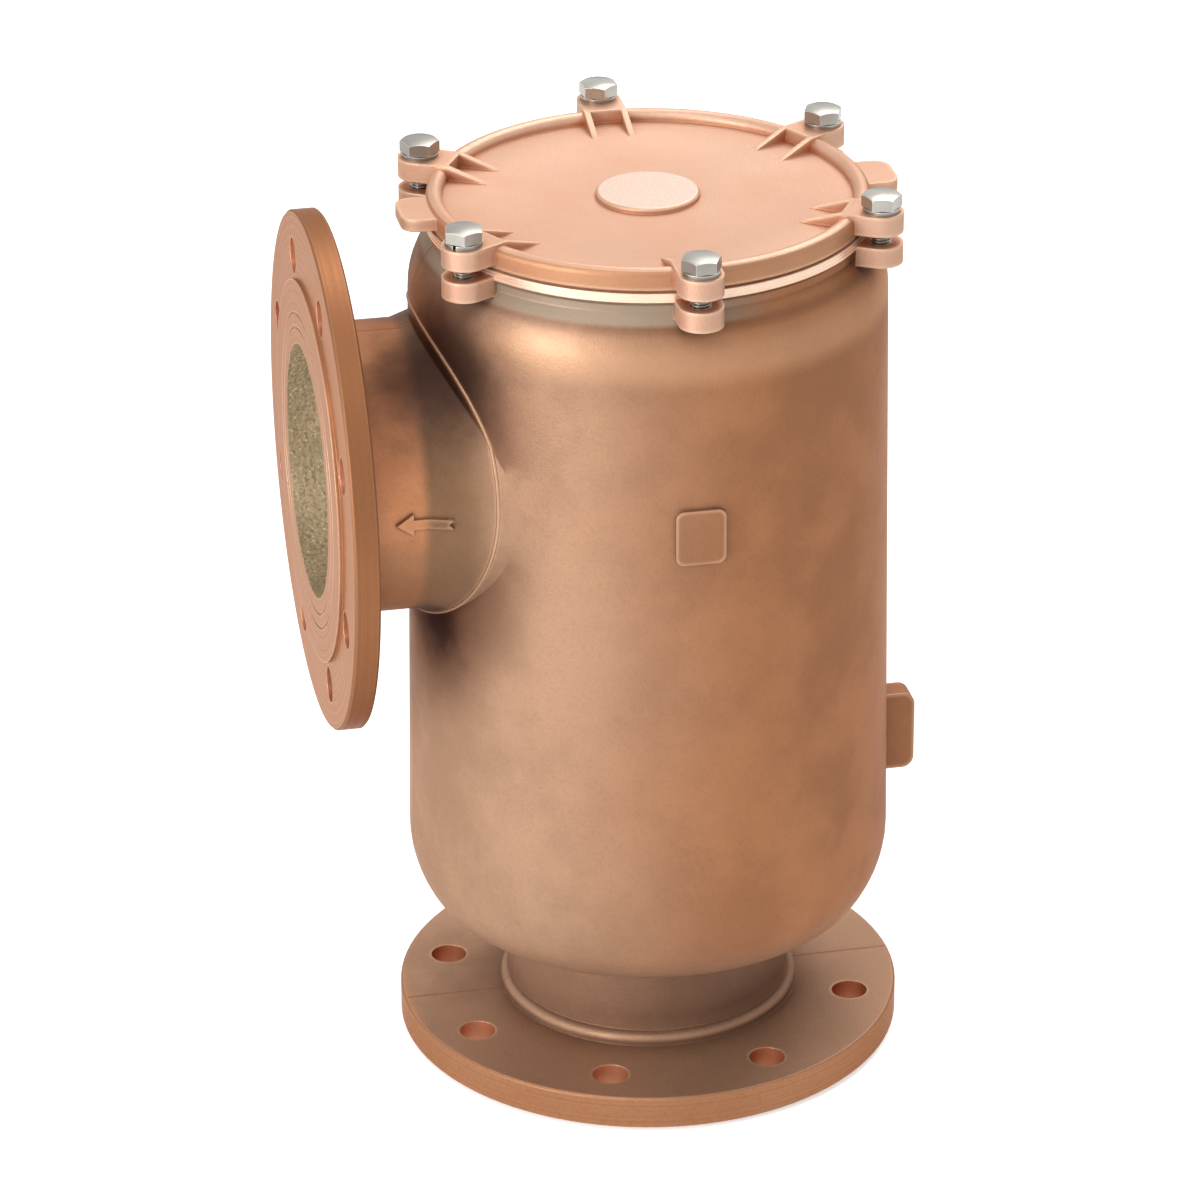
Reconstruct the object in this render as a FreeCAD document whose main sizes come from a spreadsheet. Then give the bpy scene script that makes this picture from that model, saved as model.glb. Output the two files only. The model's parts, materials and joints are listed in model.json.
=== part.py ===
import FreeCAD, Part
import math
import os

import Sketcher
from FreeCAD import Placement, Rotation, Vector

# Angle-pattern sea water strainer, DN 125, in bronze.
# The origin is the centre of the inlet flange's face, which the strainer stands on.
# +Z is the body's axis. The outlet nozzle points along -X.
# Water rises through the inlet into the basket and leaves through its screen and the nozzle.

SHEET = "Sizes"

DRIVING_SIZES = {
    # DN 125 flanges, drilled to PN 10; the one that carries the weight is the thicker
    "bore_radius": 62.5,
    "flange_radius": 127.5,
    "foot_thickness": 17.0,
    "outlet_thickness": 12.5,
    "flange_holes": 8,
    "flange_hole_radius": 9.0,
    "flange_pitch_radius": 105.0,
    "raised_face_radius": 94.0,
    "raised_face_height": 2.0,
    "edge_chamfer": 1.0,
    "seal_groove_width": 1.4,
    "seal_groove_depth": 0.6,
    "seal_groove_pitch": 7.0,
    # body casting
    "wall": 8.0,
    "body_radius": 121.2,
    "body_draft": 4.2,
    "neck_radius": 71.5,
    "foot_bead": 4.5,
    "root_fillet": 4.0,
    "floor_height": 75.0,
    "knuckle_width": 20.0,
    "knuckle_height": 37.5,
    "knuckle_tight_radius": 12.0,
    "shoulder_height": 405.0,
    "shoulder_radius": 41.0,
    "collar_radius": 106.0,
    "rim_radius": 108.3,
    "rim_height": 4.5,
    "body_height": 443.5,
    "mouth_radius": 94.5,
    "ledge_radius": 99.2,
    "ledge_height": 435.0,
    # outlet nozzle
    "nozzle_height": 320.0,
    "nozzle_reach": 168.0,
    "nozzle_radius": 71.5,
    "saddle_start": 123.0,
    "saddle_end": 60.0,
    "saddle_end_radius": 92.5,
    # flow arrow, cut from a skin over the nozzle
    "arrow_skin": 1.6,
    "arrow_tip": 138.5,
    "arrow_shoulder": 130.0,
    "arrow_tail": 111.0,
    "arrow_half_head": 5.8,
    "arrow_half_shaft": 2.5,
    "arrow_notch": 2.5,
    # bare cast plate on the wall, and the solid block opposite the nozzle
    "plate_half_width": 12.2,
    "plate_half_height": 14.0,
    "plate_corner": 4.0,
    "plate_height": 322.0,
    "plate_stand": 1.7,
    "block_reach": 137.5,
    "block_bottom": 127.0,
    "block_top": 169.0,
    "block_thickness": 13.5,
    "block_corner": 6.0,
    # cover bolts and the lugs that take them
    "lug_count": 6,
    "lug_angle": 30.0,
    "lug_half_width": 10.8,
    "bolt_circle": 117.0,
    "body_lug_bottom": 430.6,
    "body_lug_height": 10.0,
    "bolt_radius": 5.0,
    "bolt_length": 30.0,
    "bolt_across_flats": 17.0,
    "bolt_head_height": 6.4,
    "bolt_point": 1.0,
    "tapped_radius": 5.05,
    "clearance_radius": 5.5,
    "washer_radius": 9.0,
    "washer_bore": 5.2,
    "washer_thickness": 2.2,
    "washer_slit": 1.6,
    # cover
    "gasket_thickness": 1.2,
    "gasket_inner": 99.8,
    "gasket_outer": 105.8,
    "cover_radius": 107.4,
    "plate_thickness": 5.0,
    "bead_width": 8.0,
    "bead_height": 5.4,
    "spigot_outer": 95.6,
    "spigot_inner": 92.6,
    "spigot_clearance": 0.4,
    "disc_radius": 25.2,
    "disc_height": 3.0,
    "cover_lug_bottom": 446.4,
    "cover_lug_top": 456.4,
    "rib_thickness": 3.0,
    "rib_start": 78.5,
    "ear_reach": 122.5,
    "ear_half_width": 15.0,
    "ear_corner": 8.0,
    "ear_thickness": 6.0,
    "ear_bottom": 446.5,
    # basket
    "basket_radius": 82.0,
    "screen_thickness": 1.8,
    "screen_columns": 14,
    "screen_rows": 8,
    "window_half_width": 7.5,
    "window_half_height": 13.0,
    "screen_margin": 34.0,
    "basket_ring_radius": 98.4,
    "basket_sheet": 3.0,
    "standpipe_radius": 61.5,
    "standpipe_top": 150.0,
    "standpipe_spigot": 8.0,
    "handle_rod_radius": 4.0,
    "handle_foot": 396.0,
    "handle_bar_height": 436.0,
    "handle_bend": 14.0,
}


class Size:
    """A number together with the sheet formula that drives it."""

    def __init__(self, value, formula):
        self.value = value
        self.formula = formula

    def __add__(self, other):
        return joined(self, other, "+", self.value + value_of(other))

    def __sub__(self, other):
        return joined(self, other, "-", self.value - value_of(other))

    def __mul__(self, other):
        return joined(self, other, "*", self.value * value_of(other))

    def __truediv__(self, other):
        return joined(self, other, "/", self.value / value_of(other))

    def __neg__(self):
        return Size(-self.value, f"-{self.formula}")

    def root(self):
        return Size(math.sqrt(self.value), f"sqrt({self.formula})")


def value_of(number):
    return number.value if isinstance(number, Size) else float(number)


def formula_of(number):
    return number.formula if isinstance(number, Size) else str(float(number))


def joined(left, right, sign, value):
    return Size(value, f"({formula_of(left)} {sign} {formula_of(right)})")


class Sizes:
    """The driving dimensions, read by name from the sheet."""

    def __init__(self, sheet):
        self.sheet = sheet

    def __getattr__(self, alias):
        return Size(float(self.sheet.get(alias)), f"{SHEET}.{alias}")


def make_sheet(doc):
    sheet = doc.addObject("Spreadsheet::Sheet", SHEET)
    for row, (alias, value) in enumerate(DRIVING_SIZES.items(), start=1):
        sheet.set(f"A{row}", alias.replace("_", " "))
        sheet.set(f"B{row}", str(value))
        sheet.setAlias(f"B{row}", alias)
    doc.recompute()
    return Sizes(sheet)


# ---------------------------------------------------------------- sketches and features

def new_body(doc, label):
    body = doc.addObject("PartDesign::Body", label)
    body.Label = label
    return body


def origin_part(body, role):
    return next(item for item in body.Origin.OriginFeatures if item.Role == role)


def new_sketch(body, name, plane, lift=None, along=None, turn=None):
    """A sketch on an origin plane, moved along its normal (lift) or its own Y (along).

    turn swings the sketch about the body's Z axis, which is the sketch's Z on the XY plane and
    the sketch's Y on the upright planes.
    """
    sketch = body.newObject("Sketcher::SketchObject", name)
    sketch.AttachmentSupport = (origin_part(body, plane), "")
    sketch.MapMode = "FlatFace"
    axis = Vector(0, 0, 1) if plane == "XY_Plane" else Vector(0, 1, 0)
    angle = value_of(turn) if turn is not None else 0.0
    base = Vector(0, value_of(along) if along is not None else 0.0, value_of(lift) if lift is not None else 0.0)
    sketch.AttachmentOffset = Placement(base, Rotation(axis, angle))
    if lift is not None:
        sketch.setExpression("AttachmentOffset.Base.z", formula_of(lift))
    if along is not None:
        sketch.setExpression("AttachmentOffset.Base.y", formula_of(along))
    if turn is not None:
        sketch.setExpression("AttachmentOffset.Rotation.Angle", formula_of(turn))
    return sketch


def set_datum(sketch, kind, references, size):
    """Adds one dimension and ties it to the sheet."""
    index = sketch.addConstraint(Sketcher.Constraint(kind, *references, value_of(size)))
    sketch.setExpression(f"Constraints[{index}]", formula_of(size))


def pin(sketch, edge, point, corner):
    """Holds a point at its distances from the sketch's origin."""
    for kind, axis, size in (("DistanceX", -2, corner[0]), ("DistanceY", -1, corner[1])):
        if abs(value_of(size)) < 1e-9:
            sketch.addConstraint(Sketcher.Constraint("PointOnObject", edge, point, axis))
        else:
            set_datum(sketch, kind, (-1, 1, edge, point), size)


def arc_between(start, end, radius):
    """The minor arc from start to end; its centre lies to the left for a positive radius."""
    chord = end - start
    middle = (start + end) * 0.5
    left = Vector(-chord.y, chord.x, 0).normalize()
    rise = math.sqrt(max(radius * radius - chord.Length ** 2 / 4, 0.0))
    centre = middle + left * math.copysign(rise, radius)
    first, last = (start, end) if radius > 0 else (end, start)
    angles = [math.atan2(tip.y - centre.y, tip.x - centre.x) for tip in (first, last)]
    return Part.ArcOfCircle(Part.Circle(centre, Vector(0, 0, 1), abs(radius)), *angles)


def draw_outline(sketch, corners, arcs=None, closed=True):
    """Draws an outline through its corners; arcs gives the radius of each round edge by number."""
    arcs = arcs or {}
    points = [Vector(value_of(x), value_of(y), 0) for x, y in corners]
    edges = []
    for number in range(len(points) if closed else len(points) - 1):
        start = points[number]
        end = points[(number + 1) % len(points)]
        if number in arcs:
            radius = arcs[number]
            edge = sketch.addGeometry(arc_between(start, end, value_of(radius)), False)
            edges.append((edge, 1, 2) if value_of(radius) > 0 else (edge, 2, 1))
            size = radius if value_of(radius) > 0 else -radius
            set_datum(sketch, "Radius", (edge,), size)
        else:
            edge = sketch.addGeometry(Part.LineSegment(start, end), False)
            edges.append((edge, 1, 2))
    for number in range(len(edges) if closed else len(edges) - 1):
        edge, _, end_point = edges[number]
        following, start_point, _ = edges[(number + 1) % len(edges)]
        sketch.addConstraint(Sketcher.Constraint("Coincident", edge, end_point, following, start_point))
    for (edge, start_point, _), corner in zip(edges, corners):
        pin(sketch, edge, start_point, corner)
    if not closed:
        pin(sketch, edges[-1][0], edges[-1][2], corners[-1])


def draw_circle(sketch, centre, radius):
    middle = Vector(value_of(centre[0]), value_of(centre[1]), 0)
    edge = sketch.addGeometry(Part.Circle(middle, Vector(0, 0, 1), value_of(radius)), False)
    pin(sketch, edge, 3, centre)
    set_datum(sketch, "Radius", (edge,), radius)


def turned(body, kind, name, sketch, axis="V_Axis", angle=360.0, reverse=False):
    """A Revolution or a Groove about one of its sketch's axes."""
    feature = body.newObject(f"PartDesign::{kind}", name)
    feature.Profile = sketch
    feature.ReferenceAxis = (sketch, [axis])
    feature.Angle = angle
    feature.Reversed = reverse
    return feature


def extruded(body, kind, name, sketch, length, symmetric=False, reverse=False):
    """A Pad along its sketch's normal, or a Pocket against it."""
    feature = body.newObject(f"PartDesign::{kind}", name)
    feature.Profile = sketch
    feature.Length = value_of(length)
    feature.setExpression("Length", formula_of(length))
    feature.SideType = "Symmetric" if symmetric else "One side"
    feature.Reversed = reverse
    return feature


def around(body, name, originals, axis, count):
    """Repeats features evenly round an axis and makes the pattern the body's tip."""
    pattern = body.newObject("PartDesign::PolarPattern", name)
    pattern.Originals = originals
    pattern.Axis = axis
    pattern.Angle = 360.0
    pattern.Occurrences = int(value_of(count))
    pattern.setExpression("Occurrences", formula_of(count))
    body.Tip = pattern
    return pattern


def body_axis(body):
    return (origin_part(body, "Z_Axis"), [""])


# ---------------------------------------------------------------- body casting

def add_flow_arrow(body, dim):
    """The raised arrow, cut from a skin that follows the nozzle and its conical saddle."""
    slope = (dim.saddle_end_radius - dim.nozzle_radius) / (dim.saddle_start - dim.saddle_end)
    inner = dim.bore_radius
    outer = dim.nozzle_radius + dim.arrow_skin
    front = -(dim.arrow_tip + dim.arrow_skin)
    back = -(dim.arrow_tail - dim.arrow_skin)
    skin = new_sketch(body, "ArrowSkinOutline", "XZ_Plane", along=dim.nozzle_height)
    draw_outline(skin, [
        (front, inner),
        (back, inner),
        (back, outer + (dim.saddle_start + back) * slope),
        (-dim.saddle_start, outer),
        (front, outer),
    ])
    turned(body, "Revolution", "ArrowSkin", skin, "H_Axis", 180.0)
    mask = new_sketch(body, "ArrowMask", "XZ_Plane", along=dim.nozzle_height)
    frame_half = dim.flange_radius
    draw_outline(mask, [
        (front - 5, -frame_half),
        (back + 5, -frame_half),
        (back + 5, frame_half),
        (front - 5, frame_half),
    ])
    draw_outline(mask, [
        (-dim.arrow_tip, 0),
        (-dim.arrow_shoulder, -dim.arrow_half_head),
        (-dim.arrow_shoulder, -dim.arrow_half_shaft),
        (-dim.arrow_tail, -dim.arrow_half_shaft),
        (-(dim.arrow_tail + dim.arrow_notch), 0),
        (-dim.arrow_tail, dim.arrow_half_shaft),
        (-dim.arrow_shoulder, dim.arrow_half_shaft),
        (-dim.arrow_shoulder, dim.arrow_half_head),
    ])
    extruded(body, "Pocket", "ArrowShape", mask, dim.flange_radius * 2, symmetric=True)


def add_nozzle(body, dim):
    """Outlet nozzle, solid as yet: flange, pipe and the cone that widens into the body."""
    face = -(dim.nozzle_reach + dim.raised_face_height)
    front = -dim.nozzle_reach
    back = -(dim.nozzle_reach - dim.outlet_thickness)
    chamfer = dim.edge_chamfer
    root = dim.root_fillet
    sketch = new_sketch(body, "NozzleOutline", "XZ_Plane", along=dim.nozzle_height)
    draw_outline(sketch, [
        (-dim.saddle_end, 0),
        (-dim.saddle_end, dim.saddle_end_radius),
        (-dim.saddle_start, dim.nozzle_radius),
        (back + root, dim.nozzle_radius),
        (back, dim.nozzle_radius + root),
        (back, dim.flange_radius - chamfer),
        (back - chamfer, dim.flange_radius),
        (front + chamfer, dim.flange_radius),
        (front, dim.flange_radius - chamfer),
        (front, dim.raised_face_radius),
        (face, dim.raised_face_radius),
        (face, 0),
    ], arcs={3: -root})
    turned(body, "Revolution", "Nozzle", sketch, "H_Axis")


def arc_rise(radius, run):
    """How far an arc climbs, from its upright tangent, while it comes in by run."""
    inset = radius - run
    return (radius * radius - inset * inset).root()


def barrel_radius(dim, height):
    """Outside of the barrel, which draws in evenly from the knuckle up to the shoulder."""
    foot = dim.floor_height + dim.knuckle_height
    return dim.body_radius - dim.body_draft * (height - foot) / (dim.shoulder_height - foot)


def knuckle(dim, inset):
    """The bottom corner at a depth under the outside: a tight arc that runs on into a wide one."""
    tight = dim.knuckle_tight_radius
    rise = dim.knuckle_height - tight
    run = dim.knuckle_width - tight
    wide = (dim.knuckle_width * dim.knuckle_width + rise * rise - tight * tight) / (run * 2)
    share = (tight - inset) / (wide - tight)
    centre_radius = dim.body_radius - dim.knuckle_width
    centre_height = dim.floor_height + tight
    corners = [
        (centre_radius, dim.floor_height + inset),
        (centre_radius + (wide - dim.knuckle_width) * share, centre_height - rise * share),
        (dim.body_radius - inset, dim.floor_height + dim.knuckle_height),
    ]
    return corners, tight - inset, wide - inset


def add_shell(body, dim):
    """Outside of the body, solid as yet: inlet flange, neck, barrel, shoulder, collar and rim."""
    rim_bottom = dim.raised_face_height
    rim_top = dim.raised_face_height + dim.foot_thickness
    chamfer = dim.edge_chamfer
    corner, tight, wide = knuckle(dim, 0)
    shoulder = barrel_radius(dim, dim.shoulder_height)
    shoulder_top = dim.shoulder_height + arc_rise(dim.shoulder_radius, shoulder - dim.collar_radius)
    lip = dim.rim_radius - dim.collar_radius
    sketch = new_sketch(body, "ShellOutline", "XZ_Plane")
    draw_outline(sketch, [
        (0, 0),
        (dim.raised_face_radius, 0),
        (dim.raised_face_radius, rim_bottom),
        (dim.flange_radius - chamfer, rim_bottom),
        (dim.flange_radius, rim_bottom + chamfer),
        (dim.flange_radius, rim_top - chamfer),
        (dim.flange_radius - chamfer, rim_top),
        (dim.neck_radius + dim.foot_bead, rim_top),
        (dim.neck_radius + dim.foot_bead, rim_top + 2),
        (dim.neck_radius, rim_top + dim.foot_bead + 2),
        (dim.neck_radius, dim.floor_height - dim.root_fillet),
        (dim.neck_radius + dim.root_fillet, dim.floor_height),
        *corner,
        (shoulder, dim.shoulder_height),
        (dim.collar_radius, shoulder_top),
        (dim.collar_radius, dim.body_height - dim.rim_height - lip),
        (dim.rim_radius, dim.body_height - dim.rim_height),
        (dim.rim_radius, dim.body_height),
        (0, dim.body_height),
    ], arcs={
        8: dim.foot_bead,
        10: -dim.root_fillet,
        12: tight,
        13: wide,
        15: dim.shoulder_radius,
    })
    turned(body, "Revolution", "Shell", sketch)


def draw_lug(sketch, dim, start):
    """A bar from start out to the bolt circle, with a round end about the bolt."""
    half = dim.lug_half_width
    draw_outline(sketch, [
        (start, -half),
        (dim.bolt_circle, -half),
        (dim.bolt_circle + half, 0),
        (dim.bolt_circle, half),
        (start, half),
    ], arcs={1: half, 2: half})


def add_body_lugs(body, dim):
    sketch = new_sketch(body, "LugOutline", "XY_Plane", lift=dim.body_lug_bottom, turn=dim.lug_angle)
    draw_lug(sketch, dim, dim.mouth_radius)
    lug = extruded(body, "Pad", "Lug", sketch, dim.body_lug_height)
    around(body, "Lugs", [lug], body_axis(body), dim.lug_count)


def add_wall_plate(body, dim):
    """A bare plate with rounded corners, standing just proud of the barrel on the -Y side."""
    wide = dim.plate_half_width
    tall = dim.plate_half_height
    corner = dim.plate_corner
    root = barrel_radius(dim, dim.plate_height) - dim.wall / 2
    sketch = new_sketch(body, "WallPlateOutline", "XZ_Plane", lift=root, along=dim.plate_height)
    draw_outline(sketch, [
        (corner - wide, -tall),
        (wide - corner, -tall),
        (wide, corner - tall),
        (wide, tall - corner),
        (wide - corner, tall),
        (corner - wide, tall),
        (-wide, tall - corner),
        (-wide, corner - tall),
    ], arcs={1: corner, 3: corner, 5: corner, 7: corner})
    extruded(body, "Pad", "WallPlate", sketch, dim.wall / 2 + dim.plate_stand)


def add_block(body, dim):
    """The solid upright block low on the side away from the nozzle."""
    corner = dim.block_corner
    start = dim.body_radius - dim.wall / 2
    sketch = new_sketch(body, "BlockOutline", "XZ_Plane")
    draw_outline(sketch, [
        (start, dim.block_bottom),
        (dim.block_reach - corner, dim.block_bottom),
        (dim.block_reach, dim.block_bottom + corner),
        (dim.block_reach, dim.block_top - corner),
        (dim.block_reach - corner, dim.block_top),
        (start, dim.block_top),
    ], arcs={1: corner, 3: corner})
    extruded(body, "Pad", "Block", sketch, dim.block_thickness, symmetric=True)


def cut_chamber(body, dim):
    """Inlet bore, basket seat, chamber, mouth and the ledge for the basket's ring."""
    corner, tight, wide = knuckle(dim, dim.wall)
    inner = barrel_radius(dim, dim.shoulder_height) - dim.wall
    shoulder = dim.shoulder_radius - dim.wall
    shoulder_top = dim.shoulder_height + arc_rise(shoulder, inner - dim.mouth_radius)
    sketch = new_sketch(body, "ChamberOutline", "XZ_Plane")
    draw_outline(sketch, [
        (0, 0),
        (dim.bore_radius, 0),
        (dim.bore_radius, dim.floor_height + dim.wall),
        *corner,
        (inner, dim.shoulder_height),
        (dim.mouth_radius, shoulder_top),
        (dim.mouth_radius, dim.ledge_height),
        (dim.ledge_radius, dim.ledge_height),
        (dim.ledge_radius, dim.body_height),
        (0, dim.body_height),
    ], arcs={3: tight, 4: wide, 6: shoulder})
    turned(body, "Groove", "Chamber", sketch)


def cut_outlet_bore(body, dim):
    face = dim.nozzle_reach + dim.raised_face_height
    sketch = new_sketch(body, "OutletBoreOutline", "XZ_Plane", along=dim.nozzle_height)
    draw_outline(sketch, [
        (-face, 0),
        (-dim.basket_radius, 0),
        (-dim.basket_radius, dim.bore_radius),
        (-face, dim.bore_radius),
    ])
    turned(body, "Groove", "OutletBore", sketch, "H_Axis")


def first_hole(dim):
    """Centre of one flange hole: the holes straddle the flange's centre lines."""
    half_step = math.pi / DRIVING_SIZES["flange_holes"]
    return (dim.flange_pitch_radius * math.cos(half_step), dim.flange_pitch_radius * math.sin(half_step))


def drill_flanges(body, dim):
    foot_top = dim.raised_face_height + dim.foot_thickness
    inlet = new_sketch(body, "InletHoleOutline", "XY_Plane", lift=foot_top)
    draw_circle(inlet, first_hole(dim), dim.flange_hole_radius)
    inlet_hole = extruded(body, "Pocket", "InletHole", inlet, foot_top)
    around(body, "InletHoles", [inlet_hole], (inlet, ["N_Axis"]), dim.flange_holes)
    back = -(dim.nozzle_reach - dim.outlet_thickness)
    outlet = new_sketch(body, "OutletHoleOutline", "YZ_Plane", lift=back, along=dim.nozzle_height)
    draw_circle(outlet, first_hole(dim), dim.flange_hole_radius)
    outlet_hole = extruded(body, "Pocket", "OutletHole", outlet, dim.outlet_thickness + dim.raised_face_height)
    around(body, "OutletHoles", [outlet_hole], (outlet, ["N_Axis"]), dim.flange_holes)


def cut_seal_grooves(body, dim):
    """Turned rings in both raised faces, which bite into the pipe gaskets."""
    width = dim.seal_groove_width
    depth = dim.seal_groove_depth
    face = -(dim.nozzle_reach + dim.raised_face_height)
    inlet = new_sketch(body, "InletGrooveOutline", "XZ_Plane")
    outlet = new_sketch(body, "OutletGrooveOutline", "XZ_Plane", along=dim.nozzle_height)
    for ring in (1, 2):
        radius = dim.bore_radius + dim.seal_groove_pitch * ring
        draw_outline(inlet, [(radius, 0), (radius + width, 0), (radius + width, depth), (radius, depth)])
        draw_outline(outlet, [
            (face, radius),
            (face + depth, radius),
            (face + depth, radius + width),
            (face, radius + width),
        ])
    turned(body, "Groove", "InletGrooves", inlet)
    turned(body, "Groove", "OutletGrooves", outlet, "H_Axis")


def drill_body_lugs(body, dim):
    top = dim.body_lug_bottom + dim.body_lug_height
    sketch = new_sketch(body, "TappedOutline", "XY_Plane", lift=top, turn=dim.lug_angle)
    draw_circle(sketch, (dim.bolt_circle, 0), dim.tapped_radius)
    hole = extruded(body, "Pocket", "TappedHole", sketch, dim.body_lug_height)
    around(body, "TappedHoles", [hole], body_axis(body), dim.lug_count)


def make_body_casting(doc, dim):
    body = new_body(doc, "body_casting")
    add_flow_arrow(body, dim)
    add_nozzle(body, dim)
    add_shell(body, dim)
    add_body_lugs(body, dim)
    add_wall_plate(body, dim)
    add_block(body, dim)
    cut_chamber(body, dim)
    cut_outlet_bore(body, dim)
    drill_flanges(body, dim)
    cut_seal_grooves(body, dim)
    drill_body_lugs(body, dim)
    return body


# ---------------------------------------------------------------- cover

def add_cover_plate(body, dim):
    """Plate with a locating spigot below and a plain raised disc in the middle."""
    under = dim.body_height + dim.gasket_thickness
    top = under + dim.plate_thickness
    spigot = dim.ledge_height + dim.basket_sheet + dim.spigot_clearance
    disc_top = top + dim.disc_height
    sketch = new_sketch(body, "PlateOutline", "XZ_Plane")
    draw_outline(sketch, [
        (0, under),
        (dim.spigot_inner, under),
        (dim.spigot_inner, spigot),
        (dim.spigot_outer, spigot),
        (dim.spigot_outer, under),
        (dim.cover_radius, under),
        (dim.cover_radius, top),
        (dim.disc_radius, top),
        (dim.disc_radius, disc_top - dim.edge_chamfer),
        (dim.disc_radius - dim.edge_chamfer, disc_top),
        (0, disc_top),
    ])
    turned(body, "Revolution", "Plate", sketch)


def add_rib_pairs(body, dim):
    """Two thin ribs behind every lug: a wedge as wide as the lug, with its middle taken out."""
    top = dim.body_height + dim.gasket_thickness + dim.plate_thickness
    wide = dim.lug_half_width * 2
    wedge_outline = new_sketch(body, "WedgeOutline", "XZ_Plane", turn=dim.lug_angle)
    draw_outline(wedge_outline, [
        (dim.rib_start, top - 1),
        (dim.cover_radius, top - 1),
        (dim.cover_radius, dim.cover_lug_top),
        (dim.cover_radius - dim.bead_width, dim.cover_lug_top),
        (dim.rib_start, top),
    ])
    wedge = extruded(body, "Pad", "Wedge", wedge_outline, wide, symmetric=True)
    gap = dim.lug_half_width - dim.rib_thickness
    gap_outline = new_sketch(body, "GapOutline", "XY_Plane", lift=dim.cover_lug_top, turn=dim.lug_angle)
    draw_outline(gap_outline, [
        (dim.rib_start - 5, -gap),
        (dim.cover_radius + 1, -gap),
        (dim.cover_radius + 1, gap),
        (dim.rib_start - 5, gap),
    ])
    opening = extruded(body, "Pocket", "Gap", gap_outline, dim.cover_lug_top - top)
    around(body, "RibPairs", [wedge, opening], body_axis(body), dim.lug_count)


def add_bead(body, dim):
    """The round bead that runs along the cover's edge."""
    top = dim.body_height + dim.gasket_thickness + dim.plate_thickness + dim.bead_height
    half = dim.bead_width / 2
    inner = dim.cover_radius - dim.bead_width
    base = dim.body_height + dim.gasket_thickness + 1
    sketch = new_sketch(body, "BeadOutline", "XZ_Plane")
    draw_outline(sketch, [
        (inner, base),
        (dim.cover_radius, base),
        (dim.cover_radius, top - half),
        (dim.cover_radius - half, top),
        (inner, top - half),
    ], arcs={2: half, 3: half})
    turned(body, "Revolution", "Bead", sketch)


def add_cover_lugs(body, dim):
    inner = dim.cover_radius - dim.bead_width
    outline = new_sketch(body, "CoverLugOutline", "XY_Plane", lift=dim.cover_lug_bottom, turn=dim.lug_angle)
    draw_lug(outline, dim, inner)
    lug = extruded(body, "Pad", "CoverLug", outline, dim.cover_lug_top - dim.cover_lug_bottom)
    around(body, "CoverLugs", [lug], body_axis(body), dim.lug_count)


def drill_cover_lugs(body, dim):
    drill = new_sketch(body, "CoverHoleOutline", "XY_Plane", lift=dim.cover_lug_top, turn=dim.lug_angle)
    draw_circle(drill, (dim.bolt_circle, 0), dim.clearance_radius)
    hole = extruded(body, "Pocket", "CoverHole", drill, dim.cover_lug_top - dim.cover_lug_bottom)
    around(body, "CoverHoles", [hole], body_axis(body), dim.lug_count)


def add_ears(body, dim):
    """The two flat tongues by which the cover is pried and lifted off."""
    inner = dim.cover_radius - dim.bead_width
    half = dim.ear_half_width
    corner = dim.ear_corner
    sketch = new_sketch(body, "EarOutline", "XY_Plane", lift=dim.ear_bottom)
    draw_outline(sketch, [
        (inner, -half),
        (dim.ear_reach - corner, -half),
        (dim.ear_reach, corner - half),
        (dim.ear_reach, half - corner),
        (dim.ear_reach - corner, half),
        (inner, half),
    ], arcs={1: corner, 3: corner})
    ear = extruded(body, "Pad", "Ear", sketch, dim.ear_thickness)
    around(body, "Ears", [ear], body_axis(body), 2)


def make_cover(doc, dim):
    body = new_body(doc, "cover")
    add_cover_plate(body, dim)
    add_rib_pairs(body, dim)
    add_bead(body, dim)
    add_ears(body, dim)
    add_cover_lugs(body, dim)
    drill_cover_lugs(body, dim)
    return body


def turned_ring(doc, label, inner, outer, bottom, top):
    """A plain ring about the body's axis."""
    body = new_body(doc, label)
    sketch = new_sketch(body, "RingOutline", "XZ_Plane")
    draw_outline(sketch, [(inner, bottom), (outer, bottom), (outer, top), (inner, top)])
    turned(body, "Revolution", "Ring", sketch)
    return body


# ---------------------------------------------------------------- fasteners

def place_on_bolt_circle(body, dim, number, height, own_turn):
    """Moves a fastener modelled on the Z axis to its lug and turns it about itself."""
    angle = dim.lug_angle.value + number * 360.0 / dim.lug_count.value
    spot = Rotation(Vector(0, 0, 1), angle).multVec(Vector(dim.bolt_circle.value, 0, height.value))
    body.Placement = Placement(spot, Rotation(Vector(0, 0, 1), angle + own_turn))
    side = f"{SHEET}.lug_angle + {number} * 360 / {SHEET}.lug_count"
    body.setExpression("Placement.Base.x", f"{SHEET}.bolt_circle * cos({side})")
    body.setExpression("Placement.Base.y", f"{SHEET}.bolt_circle * sin({side})")
    body.setExpression("Placement.Base.z", height.formula)


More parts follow.
